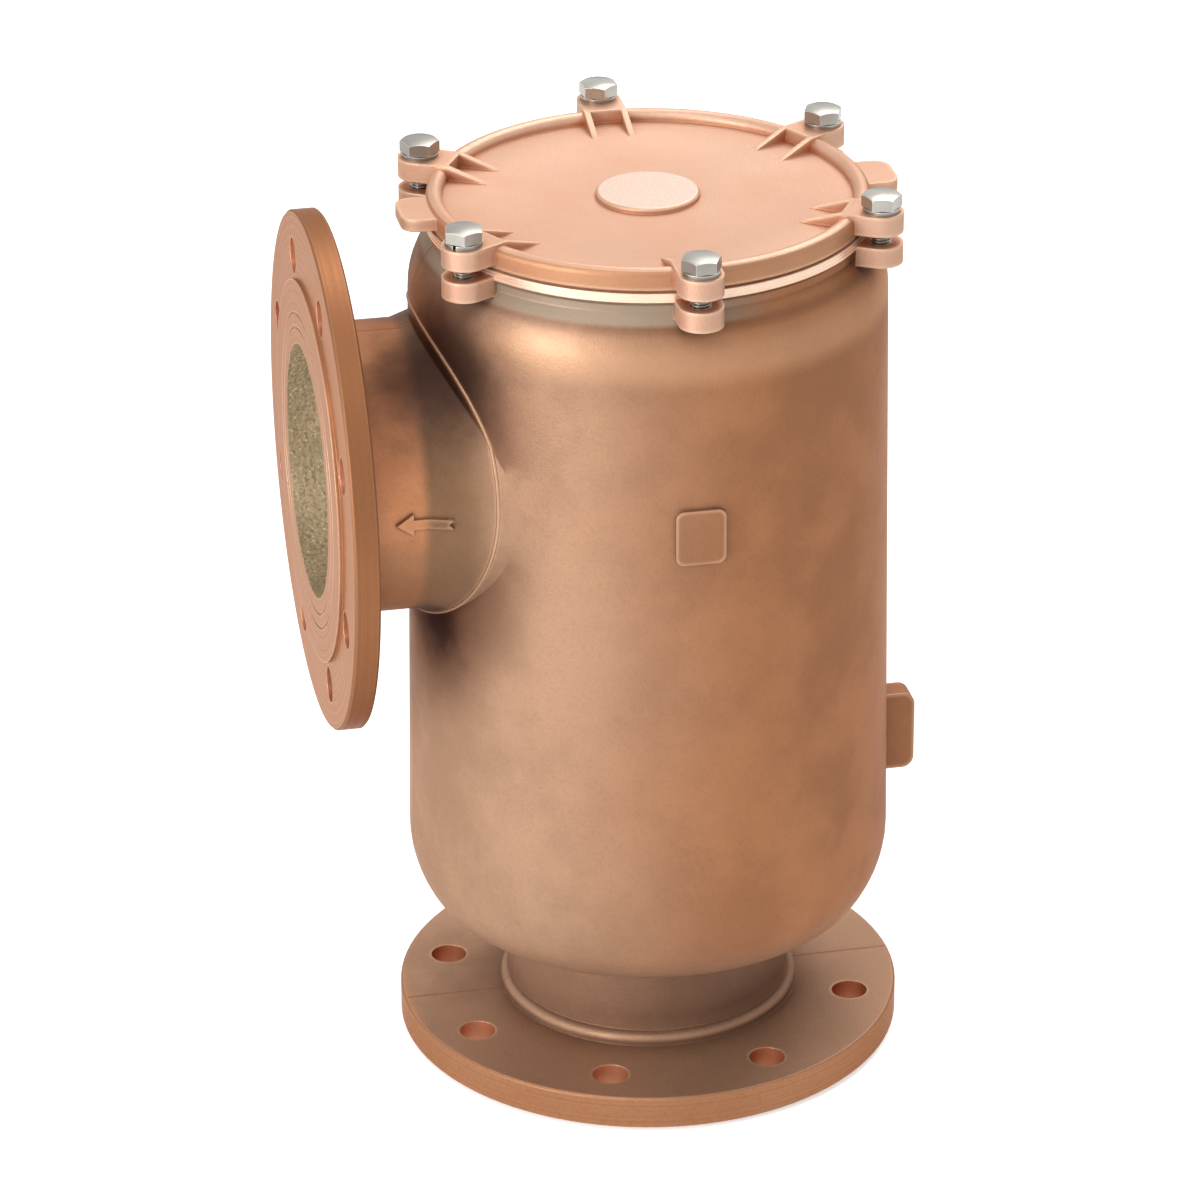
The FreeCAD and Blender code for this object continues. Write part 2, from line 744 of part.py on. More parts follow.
def make_bolt(doc, dim, number, own_turn):
    """Hexagon head set screw; Z = 0 is the underside of its head."""
    body = new_body(doc, f"cover_bolt_{number + 1}")
    half = dim.bolt_across_flats / 2
    corner = dim.bolt_across_flats / Size(math.sqrt(3.0), "sqrt(3)")
    hexagon = new_sketch(body, "HeadOutline", "XY_Plane")
    draw_outline(hexagon, [
        (0, -corner),
        (half, -(corner / 2)),
        (half, corner / 2),
        (0, corner),
        (-half, corner / 2),
        (-half, -(corner / 2)),
    ])
    extruded(body, "Pad", "Head", hexagon, dim.bolt_head_height)
    crown = new_sketch(body, "CrownOutline", "XZ_Plane")
    draw_outline(crown, [
        (half, dim.bolt_head_height),
        (corner + 1, dim.bolt_head_height - (corner + 1 - half) * 0.5),
        (corner + 1, dim.bolt_head_height),
    ])
    turned(body, "Groove", "Crown", crown)
    shank = new_sketch(body, "ShankOutline", "XZ_Plane")
    draw_outline(shank, [
        (0, -dim.bolt_length),
        (dim.bolt_radius - dim.bolt_point, -dim.bolt_length),
        (dim.bolt_radius, dim.bolt_point - dim.bolt_length),
        (dim.bolt_radius, 1),
        (0, 1),
    ])
    turned(body, "Revolution", "Shank", shank)
    place_on_bolt_circle(body, dim, number, dim.cover_lug_top + dim.washer_thickness, own_turn)
    return body


def make_lock_washer(doc, dim, number, own_turn):
    """Spring washer with its slit; Z = 0 is its underside."""
    body = new_body(doc, f"lock_washer_{number + 1}")
    outline = new_sketch(body, "WasherOutline", "XY_Plane")
    draw_circle(outline, (0, 0), dim.washer_radius)
    draw_circle(outline, (0, 0), dim.washer_bore)
    extruded(body, "Pad", "Washer", outline, dim.washer_thickness)
    half = dim.washer_slit / 2
    gap = new_sketch(body, "SlitOutline", "XY_Plane", lift=dim.washer_thickness)
    draw_outline(gap, [
        (dim.washer_bore / 2, -half),
        (dim.washer_radius + 1, -half),
        (dim.washer_radius + 1, half),
        (dim.washer_bore / 2, half),
    ])
    extruded(body, "Pocket", "Slit", gap, dim.washer_thickness)
    place_on_bolt_circle(body, dim, number, dim.cover_lug_top, own_turn)
    return body


# ---------------------------------------------------------------- basket

def make_basket_screen(doc, dim):
    """The basket's round wall, with staggered columns of windows."""
    bottom = dim.floor_height + dim.wall + dim.basket_sheet
    body = turned_ring(
        doc, "basket_screen",
        dim.basket_radius - dim.screen_thickness, dim.basket_radius, bottom, dim.ledge_height,
    )
    rows = int(dim.screen_rows.value)
    first = bottom + dim.screen_margin
    spacing = (dim.ledge_height - dim.screen_margin - first) / (rows - 1)
    step = 360.0 / dim.screen_columns.value
    wide = dim.window_half_width
    tall = dim.window_half_height
    for name, start, turn in (("Even", 0, 0.0), ("Odd", 1, step / 2)):
        column = new_sketch(body, f"{name}Column", "XZ_Plane", turn=turn)
        for row in range(start, rows, 2):
            middle = first + spacing * row
            draw_outline(column, [
                (-wide, middle - tall),
                (wide, middle - tall),
                (wide, middle + tall),
                (-wide, middle + tall),
            ])
        windows = extruded(body, "Pocket", f"{name}Windows", column, dim.basket_radius + 2)
        around(body, f"{name}Ring", [windows], body_axis(body), dim.screen_columns)
    return body


def make_basket_handle(doc, dim):
    """A round rod bent down at both ends, where it is welded inside the screen."""
    body = new_body(doc, "basket_handle")
    side = dim.basket_radius - dim.screen_thickness - dim.handle_rod_radius
    bend = dim.handle_bend
    path = new_sketch(body, "HandlePath", "XZ_Plane")
    draw_outline(path, [
        (-side, dim.handle_foot),
        (-side, dim.handle_bar_height - bend),
        (bend - side, dim.handle_bar_height),
        (side - bend, dim.handle_bar_height),
        (side, dim.handle_bar_height - bend),
        (side, dim.handle_foot),
    ], arcs={1: -bend, 3: -bend}, closed=False)
    section = new_sketch(body, "HandleSection", "XY_Plane", lift=dim.handle_foot)
    draw_circle(section, (-side, 0), dim.handle_rod_radius)
    rod = body.newObject("PartDesign::AdditivePipe", "Rod")
    rod.Profile = section
    rod.Spine = path
    return body


# ---------------------------------------------------------------- document

def make_parts(doc, dim):
    floor = dim.floor_height + dim.wall
    head_turns = (8.0, 37.0, -11.0, 22.0, 3.0, 48.0)
    slit_turns = (140.0, 65.0, 200.0, 20.0, 250.0, 110.0)
    parts = [
        make_body_casting(doc, dim),
        make_cover(doc, dim),
        turned_ring(
            doc, "cover_gasket", dim.gasket_inner, dim.gasket_outer,
            dim.body_height, dim.body_height + dim.gasket_thickness,
        ),
        make_basket_screen(doc, dim),
        turned_ring(
            doc, "basket_top_ring", dim.basket_radius - dim.screen_thickness, dim.basket_ring_radius,
            dim.ledge_height, dim.ledge_height + dim.basket_sheet,
        ),
        turned_ring(
            doc, "basket_floor", dim.standpipe_radius, dim.basket_radius,
            floor, floor + dim.basket_sheet,
        ),
        turned_ring(
            doc, "basket_standpipe", dim.standpipe_radius - dim.basket_sheet, dim.standpipe_radius,
            floor - dim.standpipe_spigot, dim.standpipe_top,
        ),
        make_basket_handle(doc, dim),
    ]
    for number, (head_turn, slit_turn) in enumerate(zip(head_turns, slit_turns)):
        parts.append(make_bolt(doc, dim, number, head_turn))
        parts.append(make_lock_washer(doc, dim, number, slit_turn))
    return parts


def check_document(doc, parts):
    """Stops before anything is written if a feature failed or a part isn't one sound solid."""
    for item in doc.Objects:
        if "Invalid" in item.State or "Error" in item.State:
            raise RuntimeError(f"{item.Label} did not compute: {item.State}")
    for part in parts:
        shape = part.Shape
        if shape.isNull() or not shape.isValid() or len(shape.Solids) != 1:
            raise RuntimeError(f"{part.Label} is not one valid solid")


def write_parts(parts):
    os.makedirs("parts", exist_ok=True)
    for part in parts:
        part.Shape.exportStep(f"parts/{part.Label}.step")


def main():
    doc = FreeCAD.newDocument("SeaWaterStrainer")
    dim = make_sheet(doc)
    parts = make_parts(doc, dim)
    doc.recompute()
    check_document(doc, parts)
    write_parts(parts)
    for part in parts:
        print(f"{part.Label:20s} {part.Shape.Volume / 1000.0:10.2f} cm3")


main()
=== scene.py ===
# %% [markdown]
# # A sea water strainer in cast bronze
#
# The strainer is a bronze casting with a bolted cover and a basket inside. Its solids come from
# the CAD frame, one object for each part. This lesson gives them their finishes: sandblasted
# castings, turned flanges, drilled holes, steel screws with a real thread and a finely
# perforated basket. It ends with the floor, the lamps and the camera.

# %% Load the solids
import json
import math

import bmesh
import bpy
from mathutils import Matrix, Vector
from mathutils.bvhtree import BVHTree


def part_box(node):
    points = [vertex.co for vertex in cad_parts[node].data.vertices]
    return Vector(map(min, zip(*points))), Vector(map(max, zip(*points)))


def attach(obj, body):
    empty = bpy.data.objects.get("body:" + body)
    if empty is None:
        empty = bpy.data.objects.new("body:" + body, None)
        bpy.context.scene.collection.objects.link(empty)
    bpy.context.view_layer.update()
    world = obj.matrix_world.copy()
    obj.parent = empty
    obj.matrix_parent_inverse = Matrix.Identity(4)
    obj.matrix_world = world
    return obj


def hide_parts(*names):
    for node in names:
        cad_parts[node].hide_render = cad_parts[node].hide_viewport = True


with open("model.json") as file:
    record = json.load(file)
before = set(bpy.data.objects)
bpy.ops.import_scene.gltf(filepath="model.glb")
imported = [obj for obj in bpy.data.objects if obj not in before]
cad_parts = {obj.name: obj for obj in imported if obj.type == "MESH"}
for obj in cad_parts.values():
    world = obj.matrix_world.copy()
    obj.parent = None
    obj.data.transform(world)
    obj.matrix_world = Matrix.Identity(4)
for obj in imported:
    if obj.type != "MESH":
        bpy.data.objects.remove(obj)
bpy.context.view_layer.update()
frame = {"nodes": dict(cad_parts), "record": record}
nodes = frame["nodes"]
print(len(nodes), "solids loaded")

# %% [markdown]
# ## Places worked out from the frame
#
# Finishes change from place to place on one casting: its flanges are turned on a lathe, and the
# rest stays as it left the sand. Some of the places where that happens are read from the solids'
# own boxes and from the record's mounts, so they follow the part if it changes; the others are
# given as numbers.

# %% Read the places
casting_low, casting_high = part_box("body_casting")
gasket_low, gasket_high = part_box("cover_gasket")
screen_low, screen_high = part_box("basket_screen")
mounts = {mount["name"]: mount for mount in frame["record"]["mounts"]}

NOZZLE_FACE = casting_low.x
NOZZLE_HEIGHT = mounts["outlet_face"]["pos_m"][2]
HOLE_CIRCLE = mounts["outlet_bolts"]["dims"]["pcd_mm"] / 2000
HOLE_RADIUS = mounts["outlet_bolts"]["dims"]["hole_r_mm"] / 1000
FLANGE_RADIUS = 0.1275
FACE_HEIGHT = 0.002
FOOT_TOP = 0.019
FLANGE_BACK = -0.1555
BORE_RADIUS = 0.0625
RIM_BOTTOM = gasket_low.z - 0.0045
RIM_RADIUS = 0.1083
LEDGE_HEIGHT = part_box("basket_top_ring")[0].z
LUG_REACH = 0.1285
COVER_RADIUS = 0.1074
DISC_RADIUS = 0.0252
SADDLE_FOOT = -0.123
print("nozzle face at", round(NOZZLE_FACE, 4), "rim from", round(RIM_BOTTOM, 4))

# %% [markdown]
# ## Smooth shading on the solids
#
# A solid arrives as triangles whose corners are split along every CAD edge. A small geometry
# node group welds them, shades them smooth and keeps an edge sharp only where its two faces
# meet at a clear angle. It is a modifier, so the solid's own mesh stays as it is.

# %% Weld and shade smooth
def make_shading_group(sharp_angle):
    group = bpy.data.node_groups.new("Weld and shade", "GeometryNodeTree")
    group.interface.new_socket("Geometry", in_out="INPUT", socket_type="NodeSocketGeometry")
    group.interface.new_socket("Geometry", in_out="OUTPUT", socket_type="NodeSocketGeometry")
    source = group.nodes.new("NodeGroupInput")
    result = group.nodes.new("NodeGroupOutput")
    weld = group.nodes.new("GeometryNodeMergeByDistance")
    weld.inputs["Distance"].default_value = 0.00001
    smooth = group.nodes.new("GeometryNodeSetShadeSmooth")
    smooth.domain = "FACE"
    angle = group.nodes.new("GeometryNodeInputMeshEdgeAngle")
    gentle = group.nodes.new("FunctionNodeCompare")
    gentle.data_type = "FLOAT"
    gentle.operation = "LESS_THAN"
    gentle.inputs[1].default_value = sharp_angle
    edges = group.nodes.new("GeometryNodeSetShadeSmooth")
    edges.domain = "EDGE"
    group.links.new(source.outputs[0], weld.inputs["Geometry"])
    group.links.new(weld.outputs["Geometry"], smooth.inputs["Geometry"])
    group.links.new(smooth.outputs["Geometry"], edges.inputs["Geometry"])
    group.links.new(angle.outputs["Unsigned Angle"], gentle.inputs[0])
    group.links.new(gentle.outputs[0], edges.inputs["Shade Smooth"])
    group.links.new(edges.outputs["Geometry"], result.inputs[0])
    return group


weld_and_shade = make_shading_group(math.radians(28))


def shade(thing):
    thing.modifiers.new("Weld and shade", "NODES").node_group = weld_and_shade


for solid in nodes.values():
    shade(solid)
print("shaded", len(nodes), "solids")

# %% [markdown]
# ## Helpers for new pieces
#
# Some pieces below are made from nothing, and the floor, the lamps and the camera are new too. Each is
# an object put in the scene, and the made ones start as an editing mesh. Lamps and camera are
# both set by two angles round the strainer, so one helper turns the angles into a direction.

# %% Helpers for new pieces
def place(name, data):
    """A new object in the scene."""
    thing = bpy.data.objects.new(name, data)
    bpy.context.scene.collection.objects.link(thing)
    return thing


def mesh_data(mesh, name):
    """Turns an editing mesh into an object's data."""
    data = bpy.data.meshes.new(name)
    mesh.to_mesh(data)
    mesh.free()
    return data


def heading(azimuth, elevation):
    """The direction from the strainer to a place; azimuth 0 is the front, negative is left."""
    side, rise = math.radians(azimuth), math.radians(elevation)
    return Vector((math.sin(side) * math.cos(rise), -math.cos(side) * math.cos(rise), math.sin(rise)))


print("helpers for new pieces ready")

# %% [markdown]
# ## Cover screws with a real thread
#
# Each of the six M10 screws shows a stretch of thread between the two lugs it joins. The solid
# has a plain shank, so a full screw takes its place. A thread could be a bump on the shank, but
# its outline would stay straight there. Here it is a mesh: rows of corners that climb by one
# pitch on each turn, two rows on the crest and two in the root. At both ends the rows draw in
# to one small ring, which closes the rod.

# %% The thread's rows
PITCH = 0.0015
CREST_RADIUS = 0.00492
ROOT_RADIUS = 0.00408
THREAD_PROFILE = ((0.0, CREST_RADIUS), (0.125, CREST_RADIUS), (0.44, ROOT_RADIUS), (0.69, ROOT_RADIUS))
THREAD_SIDES = 36
END_DEPTH = 0.0004


def add_thread(mesh, foot, low, high):
    """A threaded rod about the upright line through foot, from low to high."""
    turns = math.ceil((high - low) / PITCH) + 1
    core = ROOT_RADIUS - END_DEPTH
    rows = []
    for step in range(turns * len(THREAD_PROFILE) + 1):
        lap, place = divmod(step, len(THREAD_PROFILE))
        share, radius = THREAD_PROFILE[place]
        row = []
        for side in range(THREAD_SIDES + 1):
            turn = side / THREAD_SIDES
            height = low + (lap - 1 + share + turn) * PITCH
            height = min(max(height, low), high)
            reach = min(radius, core + height - low, core + high - height)
            angle = turn * math.tau
            spot = (foot.x + reach * math.cos(angle), foot.y + reach * math.sin(angle), height)
            row.append(mesh.verts.new(spot))
        rows.append(row)
    for under, over in zip(rows, rows[1:]):
        for side in range(THREAD_SIDES):
            mesh.faces.new((under[side], under[side + 1], over[side + 1], over[side]))
    mesh.faces.new(reversed(rows[0][:-1]))
    mesh.faces.new(rows[-1][:-1])


print("thread:", len(THREAD_PROFILE), "rows a turn,", THREAD_SIDES, "sides")

# %% [markdown]
# ## The hexagon head
#
# A real head is a hexagon bar turned to a shallow cone on top, so the cone meets each flat in a
# curved line. The rings of this mesh follow the hexagon, and the top of each corner is lowered
# by an amount that follows how far it stands outside the cone's circle. The curved line comes
# from that alone.

# %% The head's rings
ACROSS_FLATS = 0.017
HEAD_HEIGHT = 0.0064
HEAD_SIDES = 48
CONE_SLOPE = 0.5
CROWN_RADIUS = ACROSS_FLATS / 2 * 0.955
UNDERCUT = 0.0003


def add_head(mesh, foot, turn):
    """A chamfered hexagon head; foot is the centre of its underside."""
    rings = [[], [], [], []]
    for side in range(HEAD_SIDES):
        angle = side / HEAD_SIDES * math.tau
        from_corner = angle % math.radians(60)
        reach = ACROSS_FLATS / 2 / math.cos(from_corner - math.radians(30))
        shoulder = HEAD_HEIGHT - (reach - CROWN_RADIUS) * CONE_SLOPE
        outward = Vector((math.cos(angle + turn), math.sin(angle + turn), 0.0))
        section = ((CROWN_RADIUS, 0.0), (reach, UNDERCUT), (reach, shoulder), (CROWN_RADIUS, HEAD_HEIGHT))
        for ring, (out, up) in zip(rings, section):
            ring.append(mesh.verts.new(foot + outward * out + Vector((0.0, 0.0, up))))
    for under, over in zip(rings, rings[1:]):
        for side in range(HEAD_SIDES):
            after = (side + 1) % HEAD_SIDES
            mesh.faces.new((under[side], under[after], over[after], over[side]))
    mesh.faces.new(reversed(rings[0]))
    mesh.faces.new(rings[-1])


def corner_direction(solid, centre):
    """The angle at which a head's furthest corner stands, so that the new head keeps it."""
    spots = [corner.co - centre for corner in solid.data.vertices]
    corner = max(spots, key=lambda spot: math.hypot(spot.x, spot.y))
    return math.atan2(corner.y, corner.x)


# %% Make the six screws
def make_screw(number):
    solid = nodes[f"cover_bolt_{number}"]
    low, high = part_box(solid.name)
    foot = Vector(((low.x + high.x) / 2, (low.y + high.y) / 2, high.z - HEAD_HEIGHT))
    mesh = bmesh.new()
    add_head(mesh, foot, corner_direction(solid, foot))
    add_thread(mesh, foot, low.z, foot.z + 0.001)
    screw = place(f"screw_{number}", mesh_data(mesh, f"screw_{number}"))
    shade(screw)
    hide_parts(solid.name)
    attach(screw, f"bolt_{number}")
    return screw


screws = [make_screw(number) for number in range(1, 7)]
print(len(screws), "screws with", len(screws[0].data.polygons), "faces each")

# %% [markdown]
# ## The bead round the saddle
#
# Where the nozzle's saddle runs out on the barrel, the pattern left a thin round bead. It is an
# oval wrapped on the barrel. Its height over the casting can't be written down simply, because
# it crosses both barrel and saddle. So each of its points is dropped straight onto the casting
# with a ray, and a closed curve with a round section joins them. The curve then becomes a
# mesh, because a curve's own box would count as a metre too large.

# %% Lay the bead
SADDLE_MIDDLE = NOZZLE_HEIGHT + 0.005
SADDLE_HALF_TURN = math.radians(42)
SADDLE_HALF_HEIGHT = 0.077
BEAD_RADIUS = 0.0011
BEAD_SINK = 0.35
BEAD_POINTS = 120
RAY_START = 0.15


def make_saddle_bead():
    mesh = nodes["body_casting"].data
    corners = [corner.co for corner in mesh.vertices]
    skin = BVHTree.FromPolygons(corners, [face.vertices for face in mesh.polygons])
    path = bpy.data.curves.new("bead_path", "CURVE")
    path.dimensions = "3D"
    path.bevel_depth = BEAD_RADIUS
    path.bevel_resolution = 3
    line = path.splines.new("POLY")
    line.points.add(BEAD_POINTS - 1)
    line.use_cyclic_u = True
    for step, point in enumerate(line.points):
        lap = step / BEAD_POINTS * math.tau
        turn = SADDLE_HALF_TURN * math.cos(lap)
        height = SADDLE_MIDDLE + SADDLE_HALF_HEIGHT * math.sin(lap)
        outward = Vector((-math.cos(turn), -math.sin(turn), 0.0))
        start = outward * RAY_START + Vector((0.0, 0.0, height))
        spot = skin.ray_cast(start, -outward)[0]
        point.co = (*(spot - outward * BEAD_RADIUS * BEAD_SINK), 1.0)
    guide = bpy.data.objects.new("bead_guide", path)
    data = bpy.data.meshes.new_from_object(guide)
    data.name = "saddle_bead"
    bpy.data.objects.remove(guide)
    for face in data.polygons:
        face.use_smooth = True
    bead = place("saddle_bead", data)
    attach(bead, "strainer")
    return bead


saddle_bead = make_saddle_bead()
print("bead of", BEAD_POINTS, "points round the saddle")

# %% [markdown]
# ## The squeezed gasket
#
# The cover's gasket is soft sheet. The screws squeeze it, so its edge bulges a little between
# cover and rim. The solid is a plain flat ring. This ring is drawn as a profile, bulged by a
# cosine at its outer edge, and the profile is then spun round the body's axis.

# %% Spin the gasket
GASKET_INNER = 0.0998
GASKET_BULGE = 0.0010
GASKET_SIDES = 160
BULGE_STEPS = 6


def make_gasket():
    thick = gasket_high.z - gasket_low.z
    profile = [(GASKET_INNER, gasket_low.z)]
    for step in range(BULGE_STEPS + 1):
        share = step / BULGE_STEPS * 2 - 1
        out = gasket_high.x + GASKET_BULGE * math.cos(share * math.pi / 2)
        profile.append((out, gasket_low.z + thick * (share + 1) / 2))
    profile.append((GASKET_INNER, gasket_high.z))
    mesh = bmesh.new()
    rings = []
    for side in range(GASKET_SIDES):
        angle = side / GASKET_SIDES * math.tau
        across, aside = math.cos(angle), math.sin(angle)
        rings.append([mesh.verts.new((out * across, out * aside, up)) for out, up in profile])
    for side in range(GASKET_SIDES):
        here, after = rings[side], rings[(side + 1) % GASKET_SIDES]
        for step in range(len(profile)):
            over = (step + 1) % len(profile)
            mesh.faces.new((here[step], after[step], after[over], here[over]))
    bmesh.ops.recalc_face_normals(mesh, faces=mesh.faces)
    return mesh_data(mesh, "squeezed_gasket")


gasket = place("squeezed_gasket", make_gasket())
shade(gasket)
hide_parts("cover_gasket")
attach(gasket, "strainer")
print("gasket with", len(gasket.data.polygons), "faces")

# %% [markdown]
# ## The basket's perforated sheet
#
# A strainer basket is rolled from sheet with thousands of small punched holes, in rows that are
# staggered by half a pitch. The solid has a few large windows in their place. Cutting thousands
# of holes with a boolean would be slow. Here each hole is the middle of one small cell of eight
# faces, and a cell's own mid-points are the corners of the next row's cells, so the rows fit
# together. A row is 0.866 of a pitch high, as in any staggered pattern of equal gaps. A
# Solidify modifier then gives the sheet its thickness.

# %% Punch the sheet
SCREEN_RADIUS = screen_high.x
SHEET_THICKNESS = 0.0018
HOLES_AROUND = 64
PUNCH_RADIUS = 0.0026
PLAIN_EDGE = 0.016
ROW_SHARE = 0.866
CELL_CORNERS = ((-1, -1), (0, -1), (1, -1), (1, 0), (1, 1), (0, 1), (-1, 1), (-1, 0))


def make_perforated_screen():
    pitch = math.tau * SCREEN_RADIUS / HOLES_AROUND
    punched = screen_high.z - screen_low.z - 2 * PLAIN_EDGE
    count = round(punched / (pitch * ROW_SHARE))
    rise = punched / count
    mesh = bmesh.new()

    def corner(along, height):
        angle = along / SCREEN_RADIUS
        return mesh.verts.new((SCREEN_RADIUS * math.cos(angle), SCREEN_RADIUS * math.sin(angle), height))

    for row in range(count):
        middle = screen_low.z + PLAIN_EDGE + (row + 0.5) * rise
        for cell in range(HOLES_AROUND):
            along = (cell + 0.5 * (row % 2)) * pitch
            outer = [corner(along + x * pitch / 2, middle + z * rise / 2) for x, z in CELL_CORNERS]
            inner = []
            for x, z in CELL_CORNERS:
                length = math.hypot(x, z)
                out, up = x / length * PUNCH_RADIUS, z / length * PUNCH_RADIUS
                inner.append(corner(along + out, middle + up))
            for side in range(len(CELL_CORNERS)):
                after = (side + 1) % len(CELL_CORNERS)
                mesh.faces.new((outer[side], outer[after], inner[after], inner[side]))
    for low in (screen_low.z, screen_high.z - PLAIN_EDGE):
        high = low + PLAIN_EDGE
        for half in range(HOLES_AROUND * 2):
            start = half * pitch / 2
            end = start + pitch / 2
            spots = ((start, low), (end, low), (end, high), (start, high))
            mesh.faces.new([corner(along, height) for along, height in spots])
    bmesh.ops.remove_doubles(mesh, verts=mesh.verts, dist=0.00005)
    bmesh.ops.recalc_face_normals(mesh, faces=mesh.faces)
    return mesh_data(mesh, "perforated_screen"), count * HOLES_AROUND


screen_data, hole_count = make_perforated_screen()
screen = place("perforated_screen", screen_data)
thickness = screen.modifiers.new("Sheet thickness", "SOLIDIFY")
thickness.thickness = SHEET_THICKNESS
thickness.offset = -1.0
shade(screen)
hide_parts("basket_screen")
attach(screen, "strainer")
print("basket sheet with", hole_count, "holes")

# %% [markdown]
# ## Helpers for node trees
#
# Every finish below is a tree of nodes. One helper adds a node and fills its inputs, and the
# others are short names for the nodes used most. They keep the recipes short enough to read.

# %% Node helpers
def put(tree, kind, inputs=None, **settings):
    """Adds a node; each input takes a plain value or another node's output."""
    node = tree.nodes.new(kind)
    for name, value in settings.items():
        setattr(node, name, value)
    for name, value in (inputs or {}).items():
        if isinstance(value, bpy.types.NodeSocket):
            tree.links.new(value, node.inputs[name])
        else:
            node.inputs[name].default_value = value
    return node


def compute(tree, operation, first, second=0.0, third=0.0):
    """A Math node's result."""
    return put(tree, "ShaderNodeMath", {0: first, 1: second, 2: third}, operation=operation).outputs[0]


def place_on_solid(tree):
    """Where the point being shaded lies, in the object's own metres."""
    return put(tree, "ShaderNodeTexCoord").outputs["Object"]


def noise(tree, scale, detail, roughness=0.5):
    """Noise in the object's own space, 0 to 1."""
    inputs = {"Vector": place_on_solid(tree), "Scale": scale, "Detail": detail, "Roughness": roughness}
    return put(tree, "ShaderNodeTexNoise", inputs).outputs["Fac"]


def ramp(tree, value, low, high, start=0.0, end=1.0):
    """Maps low..high to start..end, with soft ends."""
    node = put(tree, "ShaderNodeMapRange", interpolation_type="SMOOTHSTEP", clamp=True)
    for name, number in (("From Min", low), ("From Max", high), ("To Min", start), ("To Max", end)):
        node.inputs[name].default_value = number
    tree.links.new(value, node.inputs["Value"])
    return node.outputs["Result"]


def times(tree, first, second):
    return compute(tree, "MULTIPLY", first, second)


def mix(tree, factor, first, second):
    """Blends two colours."""
    return put(tree, "ShaderNodeMix", {0: factor, 6: first, 7: second}, data_type="RGBA").outputs[2]


def paint(tree, base, layers):
    """Lays colours over a base; each layer is a mask, its strength and its colour."""
    for mask, strength, tone in layers:
        base = mix(tree, times(tree, mask, strength), base, tone)
    return base


def new_group(name, inputs, outputs):
    """A shader group; inputs are (name, kind, value) and outputs are (name, kind)."""
    group = bpy.data.node_groups.new(name, "ShaderNodeTree")
    sockets = group.interface
    for label, kind, value in inputs:
        socket = sockets.new_socket(label, in_out="INPUT", socket_type=f"NodeSocket{kind}")
        socket.default_value = value
    for label, kind in outputs:
        sockets.new_socket(label, in_out="OUTPUT", socket_type=f"NodeSocket{kind}")
    return group, group.nodes.new("NodeGroupInput").outputs, group.nodes.new("NodeGroupOutput")


def colour(red, green, blue):
    """A colour from its 0 to 255 screen values."""
    linear = []
    for value in (red, green, blue):
        part = value / 255
        linear.append(part / 12.92 if part <= 0.04045 else ((part + 0.055) / 1.055) ** 2.4)
    return (*linear, 1.0)


print("node helpers ready")

# %% [markdown]
# ## Cast grain
#
# Bronze from a sand mould is blasted clean. Up close it is a fine, even grain of pits, with
# slower waves where the sand gave way, and its colour drifts in soft clouds. Two noises of
# different size give the height, and two more give the clouds and the specks.

# %% Group: cast grain
def make_cast_grain():
    group, given, result = new_group(
        "Cast grain",
        [("Grain size", "Float", 0.0012), ("Wave depth", "Float", 0.35)],
        [("Height", "Float"), ("Clouds", "Float"), ("Specks", "Float")],
    )
    frequency = compute(group, "DIVIDE", 1.0, given["Grain size"])
    grain = noise(group, frequency, 3.0)
    waves = noise(group, 70.0, 2.0)
    clouds = noise(group, 14.0, 4.0, roughness=0.6)
    sparse = noise(group, 520.0, 2.0)
    height = compute(group, "ADD", grain, times(group, waves, given["Wave depth"]))
    group.links.new(height, result.inputs["Height"])
    group.links.new(ramp(group, clouds, 0.34, 0.66), result.inputs["Clouds"])
    group.links.new(ramp(group, sparse, 0.46, 0.66), result.inputs["Specks"])
    return group


cast_grain = make_cast_grain()
print("made", cast_grain.name)

# %% [markdown]
# ## Colour drift
#
# One casting is not one colour. It is greyer and paler on the nozzle's side, partly the bronze's
# own drift and partly a painted sheen where the key lamp falls, and warmer and browner on the
# far side. The nozzle's saddle is duller than the barrel. Its pipe is ground to a warm tone,
# most of all over the arrow. A thin reddish line runs round the casting where the two halves of
# its mould met. All of it follows from where a point lies on the casting, so the group works it
# out from object coordinates.

# %% Group: colour drift
WANDER = 0.03
OVER_NECK = (0.07, 0.1)
ROUND_NOZZLE = (0.077, 0.083)
NOZZLE_SIDE = (-0.08, -0.05)
GROUND_EDGE = (-0.004, 0.003)
ARROW_LEVEL = (-0.026, 0.002)
LINE_WIDTH = (0.0003, 0.0012)


